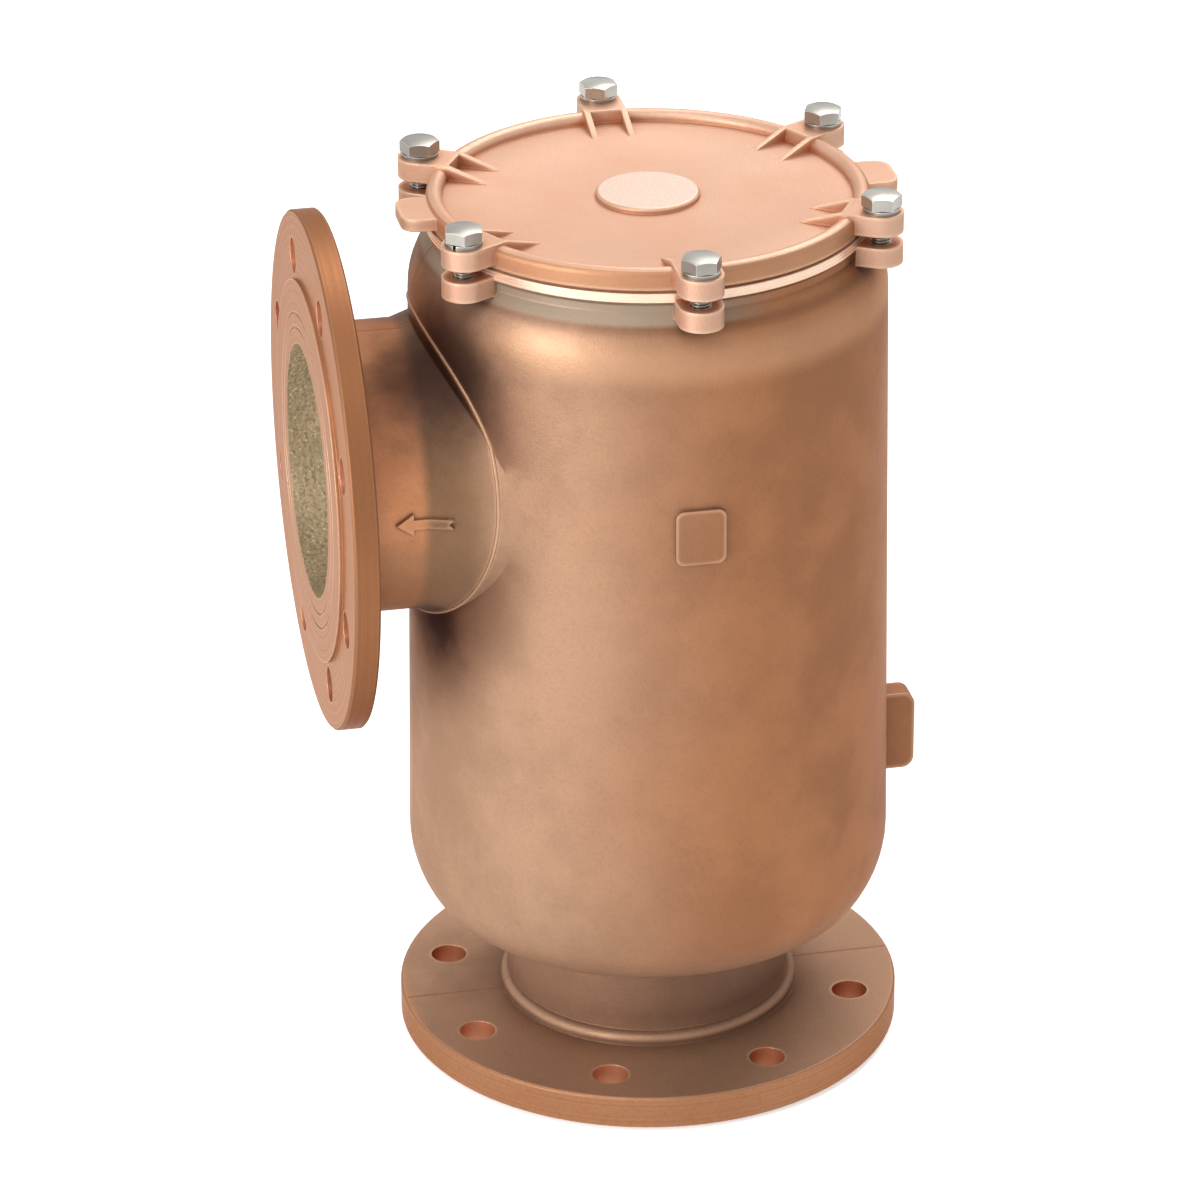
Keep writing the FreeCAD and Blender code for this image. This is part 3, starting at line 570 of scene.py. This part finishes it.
def make_colour_drift():
    group, given, result = new_group(
        "Colour drift",
        [("Grey side", "Float", -0.05), ("Warm side", "Float", 0.05), ("Ground end", "Float", -0.123),
         ("Nozzle height", "Float", 0.32)],
        [("Warmth", "Float"), ("Nozzle", "Float"), ("Ground", "Float"), ("Parting line", "Float")],
    )
    wander = noise(group, 11.0, 2.0)
    x, y, z = put(group, "ShaderNodeSeparateXYZ", {0: place_on_solid(group)}).outputs
    pushed = compute(group, "MULTIPLY_ADD", wander, WANDER, x)
    span = compute(group, "SUBTRACT", given["Warm side"], given["Grey side"])
    share = compute(group, "DIVIDE", compute(group, "SUBTRACT", pushed, given["Grey side"]), span)
    on_barrel = times(group, ramp(group, share, 0.0, 1.0), ramp(group, z, *OVER_NECK))
    level = compute(group, "SUBTRACT", z, given["Nozzle height"])
    squares = compute(group, "ADD", times(group, level, level), times(group, y, y))
    round_nozzle = ramp(group, compute(group, "POWER", squares, 0.5), *ROUND_NOZZLE, 1.0, 0.0)
    on_nozzle = times(group, round_nozzle, ramp(group, x, *NOZZLE_SIDE, 1.0, 0.0))
    past_end = compute(group, "SUBTRACT", x, given["Ground end"])
    over_arrow = ramp(group, level, *ARROW_LEVEL, 0.5, 1.0)
    ground = times(group, ramp(group, past_end, *GROUND_EDGE, 1.0, 0.0), over_arrow)
    aside = compute(group, "ABSOLUTE", y)
    broken = ramp(group, wander, 0.35, 0.6, 0.35, 1.0)
    line = times(group, ramp(group, aside, *LINE_WIDTH, 1.0, 0.0), broken)
    group.links.new(on_barrel, result.inputs["Warmth"])
    group.links.new(on_nozzle, result.inputs["Nozzle"])
    group.links.new(ground, result.inputs["Ground"])
    group.links.new(line, result.inputs["Parting line"])
    return group


colour_drift = make_colour_drift()
print("made", colour_drift.name)

# %% [markdown]
# ## Painted shade, grime and painted highlights
#
# Blasting doesn't reach every corner. The corner above the nozzle and the smaller one below it
# are darkened, partly by a dark skin left there and partly as painted shade, and noise frays
# both spots. A narrow band of painted shade runs round under the collar, and painted shade
# dulls the neck over the foot flange, most of all on the side away from the key lamp. Two
# places carry painted light: a painted silvery sheen on the collar's nozzle side, and a painted
# highlight round the turn of the shoulder.

# %% Group: painted shade, grime and painted highlights
# Corners darkened partly by a dark skin and partly by painted shade: name, near and far reach.
STAINS = (("Upper corner", 0.014, 0.062), ("Lower corner", 0.003, 0.032))
FRAY = 0.024
NECK_FOOT = (0.024, 0.034)
NECK_END = (0.07, 0.078)
FAR_SIDE = (-0.08, 0.0)
BAND_HALF = 0.005
COLLAR_EDGE = (0.0, 0.0025)
COLLAR_END = (0.0, 0.045)
SHOULDER_DROP = 0.016
SHOULDER_HALF = (0.002, 0.016)


def make_grime():
    group, given, result = new_group(
        "Grime",
        [("Upper corner", "Vector", (0, 0, 0)), ("Lower corner", "Vector", (0, 0, 0)),
         ("Collar foot", "Float", 0.43)],
        [("Grime", "Float"), ("Collar", "Float"), ("Shoulder", "Float")],
    )
    spot = place_on_solid(group)
    mirrored = put(group, "ShaderNodeVectorMath", {0: spot, 1: (1, -1, 1)}, operation="MULTIPLY")
    folded = put(group, "ShaderNodeVectorMath", {0: spot, 1: mirrored.outputs[0]}, operation="MINIMUM")
    rough = noise(group, 60.0, 4.0)
    stains = []
    for corner, near, far in STAINS:
        ends = {0: folded.outputs[0], 1: given[corner]}
        gap = put(group, "ShaderNodeVectorMath", ends, operation="DISTANCE").outputs["Value"]
        inner = compute(group, "SUBTRACT", gap, FRAY / 2)
        frayed = compute(group, "MULTIPLY_ADD", rough, FRAY, inner)
        stains.append(ramp(group, frayed, near, far, 1.0, 0.0))
    x, y, z = put(group, "ShaderNodeSeparateXYZ", {0: spot}).outputs
    # Painted shade on the neck over the foot flange, deeper on the side away from the key lamp.
    neck = times(group, ramp(group, z, *NECK_FOOT), ramp(group, z, *NECK_END, 1.0, 0.0))
    stains.append(times(group, neck, ramp(group, x, *FAR_SIDE, 0.1, 0.5)))
    above = compute(group, "SUBTRACT", z, given["Collar foot"])
    # A narrow band of painted shade round under the collar.
    dirt = ramp(group, compute(group, "ABSOLUTE", above), 0.0, BAND_HALF, 0.4, 0.0)
    for stain in stains:
        dirt = compute(group, "MAXIMUM", dirt, stain)
    # A painted silvery sheen on the collar, fading away from the nozzle's side.
    collar = times(group, ramp(group, above, *COLLAR_EDGE), ramp(group, x, *COLLAR_END, 1.0, 0.0))
    # A painted highlight round the turn of the shoulder.
    from_turn = compute(group, "ABSOLUTE", compute(group, "ADD", above, SHOULDER_DROP))
    group.links.new(dirt, result.inputs["Grime"])
    group.links.new(collar, result.inputs["Collar"])
    group.links.new(ramp(group, from_turn, *SHOULDER_HALF, 1.0, 0.0), result.inputs["Shoulder"])
    return group


grime = make_grime()
print("made", grime.name)

# %% [markdown]
# ## Edges and hollows
#
# Handling brightens the outer edges. The inner corners are darkened, partly by dust and tarnish
# and partly as painted shade. Ambient occlusion finds both: traced outwards it darkens in
# hollows, and traced inwards, under the surface, it darkens along thin outer edges.

# %% Group: edges and hollows
def make_edges_and_hollows():
    group, given, result = new_group(
        "Edges and hollows",
        [("Edge width", "Float", 0.002), ("Hollow reach", "Float", 0.02)],
        [("Edges", "Float"), ("Hollows", "Float")],
    )
    edge, hollow = {"Distance": given["Edge width"]}, {"Distance": given["Hollow reach"]}
    inward = put(group, "ShaderNodeAmbientOcclusion", edge, inside=True, samples=8)
    outward = put(group, "ShaderNodeAmbientOcclusion", hollow, samples=8)
    group.links.new(ramp(group, inward.outputs["AO"], 0.55, 0.95, 1.0, 0.0), result.inputs["Edges"])
    group.links.new(ramp(group, outward.outputs["AO"], 0.30, 0.90, 1.0, 0.0), result.inputs["Hollows"])
    return group


edges_and_hollows = make_edges_and_hollows()
print("made", edges_and_hollows.name)

# %% [markdown]
# ## Lathe marks
#
# The flanges' rims and faces are turned. The tool leaves fine rings about the flange's axis.
# The group measures the distance from an axis, which is laid along Z by its inputs, and draws
# the rings from it. The waves are uneven, as a worn tool would leave them.

# %% Group: lathe marks
def make_lathe_marks():
    group, given, result = new_group(
        "Lathe marks",
        [("Centre", "Vector", (0, 0, 0)), ("Turn", "Vector", (0, 0, 0)), ("Pitch", "Float", 0.0009)],
        [("Height", "Float"), ("Streaks", "Float")],
    )
    ends = {0: place_on_solid(group), 1: given["Centre"]}
    shifted = put(group, "ShaderNodeVectorMath", ends, operation="SUBTRACT").outputs[0]
    about = {"Vector": shifted, "Rotation": given["Turn"]}
    turned = put(group, "ShaderNodeVectorRotate", about, rotation_type="EULER_XYZ")
    flat = put(group, "ShaderNodeVectorMath", {0: turned.outputs[0], 1: (1, 1, 0)}, operation="MULTIPLY")
    radius = put(group, "ShaderNodeVectorMath", {0: flat.outputs[0]}, operation="LENGTH").outputs["Value"]
    upright = put(group, "ShaderNodeSeparateXYZ", {0: turned.outputs[0]}).outputs["Z"]
    along = compute(group, "ADD", radius, upright)
    count = compute(group, "DIVIDE", along, given["Pitch"])
    fine = {"W": count, "Scale": 1.0, "Detail": 2.0}
    rings = put(group, "ShaderNodeTexNoise", fine, noise_dimensions="1D")
    broad = {"W": times(group, along, 160.0), "Detail": 2.0}
    bands = put(group, "ShaderNodeTexNoise", broad, noise_dimensions="1D")
    group.links.new(rings.outputs["Fac"], result.inputs["Height"])
    group.links.new(ramp(group, bands.outputs["Fac"], 0.35, 0.7), result.inputs["Streaks"])
    return group


lathe_marks = make_lathe_marks()
print("made", lathe_marks.name)

# %% [markdown]
# ## The starting point of every material
#
# A material here is one Principled shader with a few groups in front of it. This helper makes
# the material and hands back its tree and its shader. Plain numbers, such as metallic, are set
# on the shader's own sockets.

# %% Material helpers
def new_material(name, **numbers):
    material = bpy.data.materials.new(name)
    material.use_nodes = True
    tree = material.node_tree
    shader = tree.nodes["Principled BSDF"]
    for label, value in numbers.items():
        shader.inputs[label.replace("_", " ").title()].default_value = value
    return material, tree, shader


def place_group(tree, group, **inputs):
    node = put(tree, "ShaderNodeGroup", node_tree=group)
    for label, value in inputs.items():
        node.inputs[label.replace("_", " ").capitalize()].default_value = value
    return node.outputs


def round_and_bump(tree, shader, height, depth, rounding):
    """Softens the edges in the shading and adds a bump on top of that."""
    softened = put(tree, "ShaderNodeBevel", {"Radius": rounding}, samples=6).outputs["Normal"]
    bump = put(tree, "ShaderNodeBump", {"Height": height, "Distance": depth, "Normal": softened})
    tree.links.new(bump.outputs["Normal"], shader.inputs["Normal"])


print("material helpers ready")

# %% [markdown]
# ## Sandblasted casting
#
# The body is a tan bronze, greyer and paler towards the nozzle, partly as a painted sheen, and
# browner away from it. Its hollows are darkened to purple-brown, partly tarnish and partly
# painted shade, and its outer edges are paler. Blasting leaves a satin surface: half metal,
# half dull skin, so the metallic value stays well under 1.

# %% Material: raw casting
CAST_METAL = 0.5
EDGE_TINT = colour(190, 150, 125)
NOZZLE_TONE = colour(154, 120, 91)
GROUND_TONE = colour(230, 162, 116)
# The shoulder's tone is a painted highlight.
SHOULDER_TONE = colour(236, 186, 146)
# The tone of the painted shade and grime.
GRIME_TONE = colour(54, 36, 36)
# The collar's tone is a painted silvery sheen.
COLLAR_TONE = colour(158, 142, 124)
LINE_TONE = colour(150, 84, 60)
UPPER_CORNER = (-0.111, -0.046, 0.389)
LOWER_CORNER = (-0.112, -0.036, 0.249)
COLLAR_FOOT = RIM_BOTTOM - 0.0125


def make_raw_casting(name, grey, warm, tarnish, edge, roughness,
                     reach=0.035, speckle=0.07, line=0.7, dirt=0.85, ground=0.9):
    """Bronze as cast; the last three numbers are the strengths of the marks at their own places: the
    parting line, the painted shade and grime, and the ground pipe, which also sets the painted shoulder
    highlight and collar sheen.
    """
    material, tree, shader = new_material(name, metallic=CAST_METAL, specular_tint=EDGE_TINT)
    corners = place_group(
        tree, grime, upper_corner=UPPER_CORNER, lower_corner=LOWER_CORNER, collar_foot=COLLAR_FOOT)
    grain = place_group(tree, cast_grain, grain_size=0.0011, wave_depth=0.4)
    drift = place_group(
        tree, colour_drift, grey_side=-0.07, warm_side=0.05, ground_end=SADDLE_FOOT,
        nozzle_height=NOZZLE_HEIGHT)
    wear = place_group(tree, edges_and_hollows, edge_width=0.0025, hollow_reach=reach)
    # The grey side's paler colour is partly a painted sheen from the key lamp.
    tint = paint(tree, mix(tree, drift["Warmth"], grey, warm), (
        (drift["Nozzle"], ground, NOZZLE_TONE),
        (drift["Ground"], ground, GROUND_TONE),
        (grain["Clouds"], 0.22, tarnish),
        (grain["Specks"], speckle, tarnish),
        # Hollows: partly tarnish, partly painted shade.
        (wear["Hollows"], 0.85, tarnish),
        # Painted highlight round the shoulder.
        (corners["Shoulder"], ground * 0.34, SHOULDER_TONE),
        # Painted shade and grime in the corners, under the collar and on the neck.
        (corners["Grime"], dirt, GRIME_TONE),
        # Painted silvery sheen on the collar.
        (corners["Collar"], ground, COLLAR_TONE),
        (drift["Parting line"], line, LINE_TONE),
        (wear["Edges"], 0.5, edge),
    ))
    tree.links.new(tint, shader.inputs["Base Color"])
    rough = ramp(tree, grain["Clouds"], 0.0, 1.0, roughness - 0.03, roughness + 0.05)
    tree.links.new(rough, shader.inputs["Roughness"])
    ridged = compute(tree, "MULTIPLY_ADD", drift["Parting line"], line, grain["Height"])
    round_and_bump(tree, shader, ridged, 0.00016, 0.0012)
    return material


raw_casting = make_raw_casting(
    "raw casting",
    grey=colour(182, 144, 117),
    warm=colour(172, 118, 82),
    tarnish=colour(84, 58, 46),
    edge=colour(226, 184, 150),
    roughness=0.48,
)
print("made", raw_casting.name)

# %% Material: saddle bead, painted paler than the casting as a highlight
bead_bronze = make_raw_casting(
    "bead bronze",
    grey=colour(196, 160, 130),
    warm=colour(204, 164, 134),
    tarnish=colour(140, 98, 76),
    edge=colour(226, 184, 150),
    roughness=0.42,
    reach=0.004,
    line=0.0,
    dirt=0.45,
    ground=0.0,
)
print("made", bead_bronze.name)

# %% [markdown]
# ## Cleaned cover
#
# The cover is the same bronze, cleaned after casting. It is paler and pinker all over, and only
# its deepest corners are darkened to a rusty tone, partly tarnish and partly painted shade. Its
# upright wall is a darker copy of the same bronze: painted shade.

# %% Material: cover casting
CLEANED = {"speckle": 0.05, "line": 0.0, "dirt": 0.0, "ground": 0.0}

cover_casting = make_raw_casting(
    "cover casting",
    grey=colour(218, 177, 152),
    warm=colour(216, 176, 152),
    tarnish=colour(184, 118, 78),
    edge=colour(246, 212, 182),
    roughness=0.44,
    reach=0.008,
    **CLEANED,
)
print("made", cover_casting.name)

# %% Materials: cover wall with painted shade, and disc
# The upright wall is the cover's bronze made darker: painted shade.
cover_wall = make_raw_casting(
    "cover wall",
    grey=colour(192, 142, 108),
    warm=colour(190, 140, 106),
    tarnish=colour(160, 104, 70),
    edge=colour(240, 204, 172),
    roughness=0.44,
    reach=0.006,
    **CLEANED,
)
cover_disc = make_raw_casting(
    "cover disc",
    grey=colour(228, 208, 194),
    warm=colour(228, 208, 194),
    tarnish=colour(206, 156, 122),
    edge=colour(250, 226, 204),
    roughness=0.4,
    reach=0.004,
    **CLEANED | {"speckle": 0.04},
)
print("made", cover_wall.name, "and", cover_disc.name)

# %% [markdown]
# ## Turned and drilled bronze
#
# Turned surfaces are brighter and smoother than the casting and carry the lathe's rings. The
# drilled holes show fresh metal, which is the reddest part of the whole strainer.

# %% Material: turned bronze
def make_turned_bronze(name, light, deep, centre, turn, roughness):
    material, tree, shader = new_material(name, metallic=0.6, specular_tint=EDGE_TINT)
    marks = place_group(tree, lathe_marks, centre=centre, turn=turn, pitch=0.0008)
    wear = place_group(tree, edges_and_hollows, edge_width=0.0012, hollow_reach=0.008)
    grain = place_group(tree, cast_grain, grain_size=0.002, wave_depth=0.2)
    tint = paint(tree, light, (
        (marks["Streaks"], 0.4, deep),
        (grain["Clouds"], 0.3, deep),
        (grain["Specks"], 0.3, deep),
        (wear["Edges"], 0.5, colour(248, 214, 184)),
    ))
    tree.links.new(tint, shader.inputs["Base Color"])
    rough = ramp(tree, marks["Streaks"], 0.0, 1.0, roughness - 0.04, roughness + 0.04)
    tree.links.new(rough, shader.inputs["Roughness"])
    round_and_bump(tree, shader, marks["Height"], 0.00002, 0.0006)
    return material


UPRIGHT = (0.0, 0.0, 0.0)
ALONG_NOZZLE = (0.0, math.radians(90), 0.0)
FOOT_CENTRE = (0.0, 0.0, 0.0)
NOZZLE_CENTRE = (0.0, 0.0, NOZZLE_HEIGHT)

turned_foot = make_turned_bronze(
    "turned foot rim", colour(176, 126, 92), colour(150, 100, 68), FOOT_CENTRE, UPRIGHT, 0.42)
turned_side = make_turned_bronze(
    "turned side rim", colour(152, 101, 68), colour(140, 92, 62), NOZZLE_CENTRE, ALONG_NOZZLE, 0.42)
turned_face = make_turned_bronze(
    "turned flange face", colour(187, 136, 100), colour(164, 113, 80), NOZZLE_CENTRE, ALONG_NOZZLE, 0.36)
turned_seat = make_turned_bronze(
    "turned cover seat", colour(252, 222, 198), colour(246, 208, 178), FOOT_CENTRE, UPRIGHT, 0.3)
print("made", turned_foot.name, turned_side.name, turned_face.name, turned_seat.name)

# %% Material: drilled holes
def make_drilled_bronze():
    material, tree, shader = new_material("drilled bronze", metallic=0.8, roughness=0.36)
    grain = place_group(tree, cast_grain, grain_size=0.0009, wave_depth=0.2)
    base = mix(tree, grain["Clouds"], colour(222, 166, 132), colour(196, 132, 98))
    tree.links.new(base, shader.inputs["Base Color"])
    round_and_bump(tree, shader, grain["Height"], 0.00008, 0.0006)
    return material


drilled_bronze = make_drilled_bronze()
print("made", drilled_bronze.name)

# %% [markdown]
# ## Rough bore
#
# The inside of the nozzle and of the body is as it came from the core: grey-green, matt, coarse
# and full of pale and dark specks.

# %% Material: rough bore
def make_rough_bore():
    material, tree, shader = new_material("rough bore", metallic=0.3, roughness=0.7)
    grain = place_group(tree, cast_grain, grain_size=0.0022, wave_depth=0.5)
    sand = put(tree, "ShaderNodeTexVoronoi", {"Vector": place_on_solid(tree), "Scale": 420.0})
    tint = paint(tree, colour(204, 182, 146), (
        (grain["Clouds"], 1.0, colour(168, 146, 112)),
        (ramp(tree, sand.outputs["Distance"], 0.05, 0.32, 0.75, 0.0), 1.0, colour(240, 224, 192)),
        (grain["Specks"], 0.45, colour(110, 92, 66)),
    ))
    tree.links.new(tint, shader.inputs["Base Color"])
    round_and_bump(tree, shader, grain["Height"], 0.0006, 0.0008)
    return material


rough_bore = make_rough_bore()
print("made", rough_bore.name)

# %% [markdown]
# ## Steel, sheet and rubber
#
# The cover screws and washers are bright stainless steel with a very fine grain. The basket is
# pickled stainless sheet, duller and greyer. The gasket is plain rubber sheet with a fine
# tooth, brown with bronze dust.

# %% Materials: steel and rubber
def make_steel(name, light, deep, roughness, grain_size, depth):
    material, tree, shader = new_material(name, metallic=1.0)
    grain = place_group(tree, cast_grain, grain_size=grain_size, wave_depth=0.3)
    wear = place_group(tree, edges_and_hollows, edge_width=0.0006, hollow_reach=0.004)
    tint = paint(tree, light, (
        (grain["Clouds"], 1.0, deep),
        # Dark grey in the hollows: painted shade.
        (wear["Hollows"], 0.6, colour(70, 70, 70)),
        (wear["Edges"], 0.5, colour(250, 250, 248)),
    ))
    tree.links.new(tint, shader.inputs["Base Color"])
    rough = ramp(tree, grain["Clouds"], 0.0, 1.0, roughness - 0.04, roughness + 0.06)
    tree.links.new(rough, shader.inputs["Roughness"])
    round_and_bump(tree, shader, grain["Height"], depth, 0.0003)
    return material


def make_rubber():
    material, tree, shader = new_material("rubber sheet", roughness=0.7)
    grain = place_group(tree, cast_grain, grain_size=0.0006, wave_depth=0.1)
    base = mix(tree, grain["Clouds"], colour(176, 132, 102), colour(150, 108, 82))
    tree.links.new(base, shader.inputs["Base Color"])
    round_and_bump(tree, shader, grain["Height"], 0.00004, 0.0003)
    return material


screw_steel = make_steel(
    "screw steel", colour(182, 178, 170), colour(150, 146, 138),
    roughness=0.3, grain_size=0.0008, depth=0.00002)
washer_steel = make_steel(
    "washer steel", colour(168, 164, 158), colour(140, 136, 130),
    roughness=0.36, grain_size=0.0008, depth=0.00002)
sheet_steel = make_steel(
    "sheet steel", colour(186, 186, 182), colour(162, 162, 158),
    roughness=0.42, grain_size=0.0015, depth=0.00003)
rubber_sheet = make_rubber()
print("made steel and rubber")

# %% [markdown]
# ## Which face takes which finish
#
# A solid may carry several materials, one for each kind of face. A list of rules is tried for
# every face, from its middle and its direction. The last rule that fits wins. Each limit lies
# well clear of the 1 mm chamfers, because a long thin triangle's middle can fall on either side
# of a limit that runs through it, and the finish would then end in teeth.

# %% The rules
CHAMFER_ROOM = 0.0015
SLACK = 0.0003
FLAT = 0.9
NECK_TOP = 0.084


def dress(solid, first, rules=()):
    """Gives a solid its main finish, then the finish of every rule that fits a face."""
    mesh = solid.data
    mesh.materials.clear()
    mesh.materials.append(first)
    for number, (material, fits) in enumerate(rules, start=1):
        mesh.materials.append(material)
        for face in mesh.polygons:
            if fits(face.center, face.normal):
                face.material_index = number
    print(solid.name, "has", len(mesh.materials), "finishes")


def from_axis(spot):
    return math.hypot(spot.x, spot.y)


def from_nozzle_axis(spot):
    return math.hypot(spot.y, spot.z - NOZZLE_HEIGHT)


def is_foot_rim(spot, normal):
    outermost = from_axis(spot) > FLANGE_RADIUS - CHAMFER_ROOM
    return spot.z < FOOT_TOP and outermost and abs(normal.z) < FLAT


def is_foot_face(spot, normal):
    lowest = spot.z < FACE_HEIGHT + CHAMFER_ROOM
    return lowest and normal.z < -0.5 and from_axis(spot) > BORE_RADIUS


def is_side_rim(spot, normal):
    outermost = from_nozzle_axis(spot) > FLANGE_RADIUS - CHAMFER_ROOM
    return spot.x < FLANGE_BACK and outermost and abs(normal.x) < FLAT


def is_side_face(spot, normal):
    outermost = spot.x < NOZZLE_FACE + FACE_HEIGHT + 0.0011
    round_bore = from_nozzle_axis(spot) > BORE_RADIUS + 0.0002
    return outermost and round_bore and not is_side_rim(spot, normal)


def is_cover_seat(spot, normal):
    """The rim, and the mouth's wall from the basket's ledge up."""
    in_mouth = from_axis(spot) < RIM_RADIUS - 0.005 and spot.z > LEDGE_HEIGHT - SLACK
    on_rim = spot.z > RIM_BOTTOM - SLACK and from_axis(spot) < RIM_RADIUS + 0.0007
    return in_mouth or on_rim


def is_body_lug(spot, normal):
    level = RIM_BOTTOM - 0.009 < spot.z < RIM_BOTTOM + 0.0022
    return level and RIM_RADIUS + 0.0008 < from_axis(spot) < LUG_REACH


def is_cover_wall(spot, normal):
    outermost = COVER_RADIUS - 0.0014 < from_axis(spot) < COVER_RADIUS + SLACK
    return outermost and abs(normal.z) < 0.75


def is_cover_disc(spot, normal):
    return from_axis(spot) < DISC_RADIUS and normal.z > FLAT


def is_flange_hole(spot, normal):
    """The walls of the holes, in the foot flange and in the side flange."""
    low = spot.z < FOOT_TOP + 0.0005 and abs(normal.z) < 0.3
    outer = spot.x < FLANGE_BACK + 0.0005 and abs(normal.x) < 0.3
    reach = HOLE_RADIUS + 0.001
    in_foot = low and abs(from_axis(spot) - HOLE_CIRCLE) < reach
    in_side = outer and abs(from_nozzle_axis(spot) - HOLE_CIRCLE) < reach
    return in_foot or in_side


def is_inside(spot, normal):
    """The bores, and every wall that faces the body's own axis."""
    bore = BORE_RADIUS + 0.0004
    in_neck = from_axis(spot) < bore and spot.z < NECK_TOP
    in_nozzle = from_nozzle_axis(spot) < bore and spot.x < -0.08
    inward = normal.x * spot.x + normal.y * spot.y < -0.2 * from_axis(spot)
    in_body = inward and from_axis(spot) < 0.1145 and 0.08 < spot.z < LEDGE_HEIGHT - SLACK
    return in_neck or in_nozzle or in_body


print("rules ready")

# %% [markdown]
# ## Every piece gets its finish
#
# The casting and the cover carry several finishes, and every other piece carries one. A solid
# that a finer piece replaces gets the same finish as that piece.

# %% Hand the finishes out
dress(nodes["body_casting"], raw_casting, [
    (turned_foot, is_foot_rim),
    (turned_face, is_foot_face),
    (turned_side, is_side_rim),
    (turned_face, is_side_face),
    (rough_bore, is_inside),
    (turned_seat, is_cover_seat),
    (cover_casting, is_body_lug),
    (drilled_bronze, is_flange_hole),
])
dress(nodes["cover"], cover_casting, [(cover_wall, is_cover_wall), (cover_disc, is_cover_disc)])
dress(saddle_bead, bead_bronze)
for solid in (nodes["cover_gasket"], gasket):
    dress(solid, rubber_sheet)
for name in ("basket_top_ring", "basket_floor", "basket_standpipe", "basket_handle", "basket_screen"):
    dress(nodes[name], sheet_steel)
dress(screen, sheet_steel)
for number, screw in enumerate(screws, start=1):
    dress(screw, screw_steel)
    dress(nodes[f"cover_bolt_{number}"], screw_steel)
    dress(nodes[f"lock_washer_{number}"], washer_steel)

# %% [markdown]
# ## Floor and light
#
# The strainer stands on a plain white floor. The world and the floor look white to the camera
# and in reflections, and light the object only softly. A large soft lamp low on the left gives
# the barrel its broad highlight, and a small one above it lights the shoulder. A third one
# high behind lights the cover, while the body keeps its light off the flange below.

# %% Floor
WHITE = (1.0, 1.0, 1.0, 1.0)
FLOOR_HALF = 6.0
FLOOR_LIFT = 0.55
WORLD_LIGHT = 0.36


def sees_background(tree):
    """1 where the ray comes from the camera, a reflection or glass."""
    path = put(tree, "ShaderNodeLightPath").outputs
    glossy = compute(tree, "MAXIMUM", path["Is Glossy Ray"], path["Is Transmission Ray"])
    return compute(tree, "MAXIMUM", path["Is Camera Ray"], glossy)


def make_floor():
    mesh = bpy.data.meshes.new("floor")
    corners = [(x * FLOOR_HALF, y * FLOOR_HALF, 0) for x, y in ((-1, -1), (1, -1), (1, 1), (-1, 1))]
    mesh.from_pydata(corners, [], [(0, 1, 2, 3)])
    floor = place("floor", mesh)
    material, tree, shader = new_material("white floor", roughness=0.9)
    shader.inputs["Base Color"].default_value = (0.9, 0.9, 0.9, 1.0)
    shader.inputs["Emission Color"].default_value = WHITE
    lift = times(tree, sees_background(tree), FLOOR_LIFT)
    tree.links.new(lift, shader.inputs["Emission Strength"])
    mesh.materials.append(material)


def make_world(strength):
    world = bpy.data.worlds.new("soft white")
    bpy.context.scene.world = world
    world.use_nodes = True
    tree = world.node_tree
    background = tree.nodes["Background"]
    background.inputs["Color"].default_value = WHITE
    level = ramp(tree, sees_background(tree), 0.0, 1.0, strength, 1.0)
    tree.links.new(level, background.inputs["Strength"])


make_floor()
make_world(WORLD_LIGHT)
print("floor and world ready")

# %% Lamps
middle = Vector((0.0, 0.0, casting_high.z / 2))


def add_lamp(name, azimuth, elevation, distance, size, power):
    """A square soft lamp aimed at the strainer's middle."""
    data = bpy.data.lights.new(name, "AREA")
    data.size = size
    data.energy = power
    lamp = place(name, data)
    back = heading(azimuth, elevation)
    lamp.location = middle + back * distance
    lamp.rotation_euler = (-back).to_track_quat("-Z", "Y").to_euler()
    print("lamp", name, "at", [round(value, 2) for value in lamp.location])


add_lamp("key", azimuth=-58, elevation=15, distance=2.4, size=1.1, power=34)
add_lamp("shoulder", azimuth=-32, elevation=56, distance=2.4, size=0.9, power=9)
add_lamp("top", azimuth=140, elevation=56, distance=2.4, size=1.7, power=34)

# %% [markdown]
# ## Camera
#
# A long lens from a few metres away keeps the body's sides nearly upright while looking down
# on the cover. The small shift sets the strainer a little right of the middle.

# %% Camera
def add_camera(aim, azimuth, pitch, distance, lens, shift):
    data = bpy.data.cameras.new("camera")
    data.sensor_width = 36.0
    data.lens = lens
    data.shift_x, data.shift_y = shift
    data.clip_end = 50.0
    camera = place("camera", data)
    back = heading(azimuth, pitch)
    camera.location = aim + back * distance
    camera.rotation_euler = (-back).to_track_quat("-Z", "Y").to_euler()
    bpy.context.scene.camera = camera
    return camera


camera = add_camera(
    aim=Vector((0.0, 0.0, 0.234)), azimuth=-12.28, pitch=25.89, distance=2.8,
    lens=168.0, shift=(-0.0399, -0.0024))
bpy.context.scene.view_settings.view_transform = "Standard"
print("camera at", [round(value, 3) for value in camera.location])
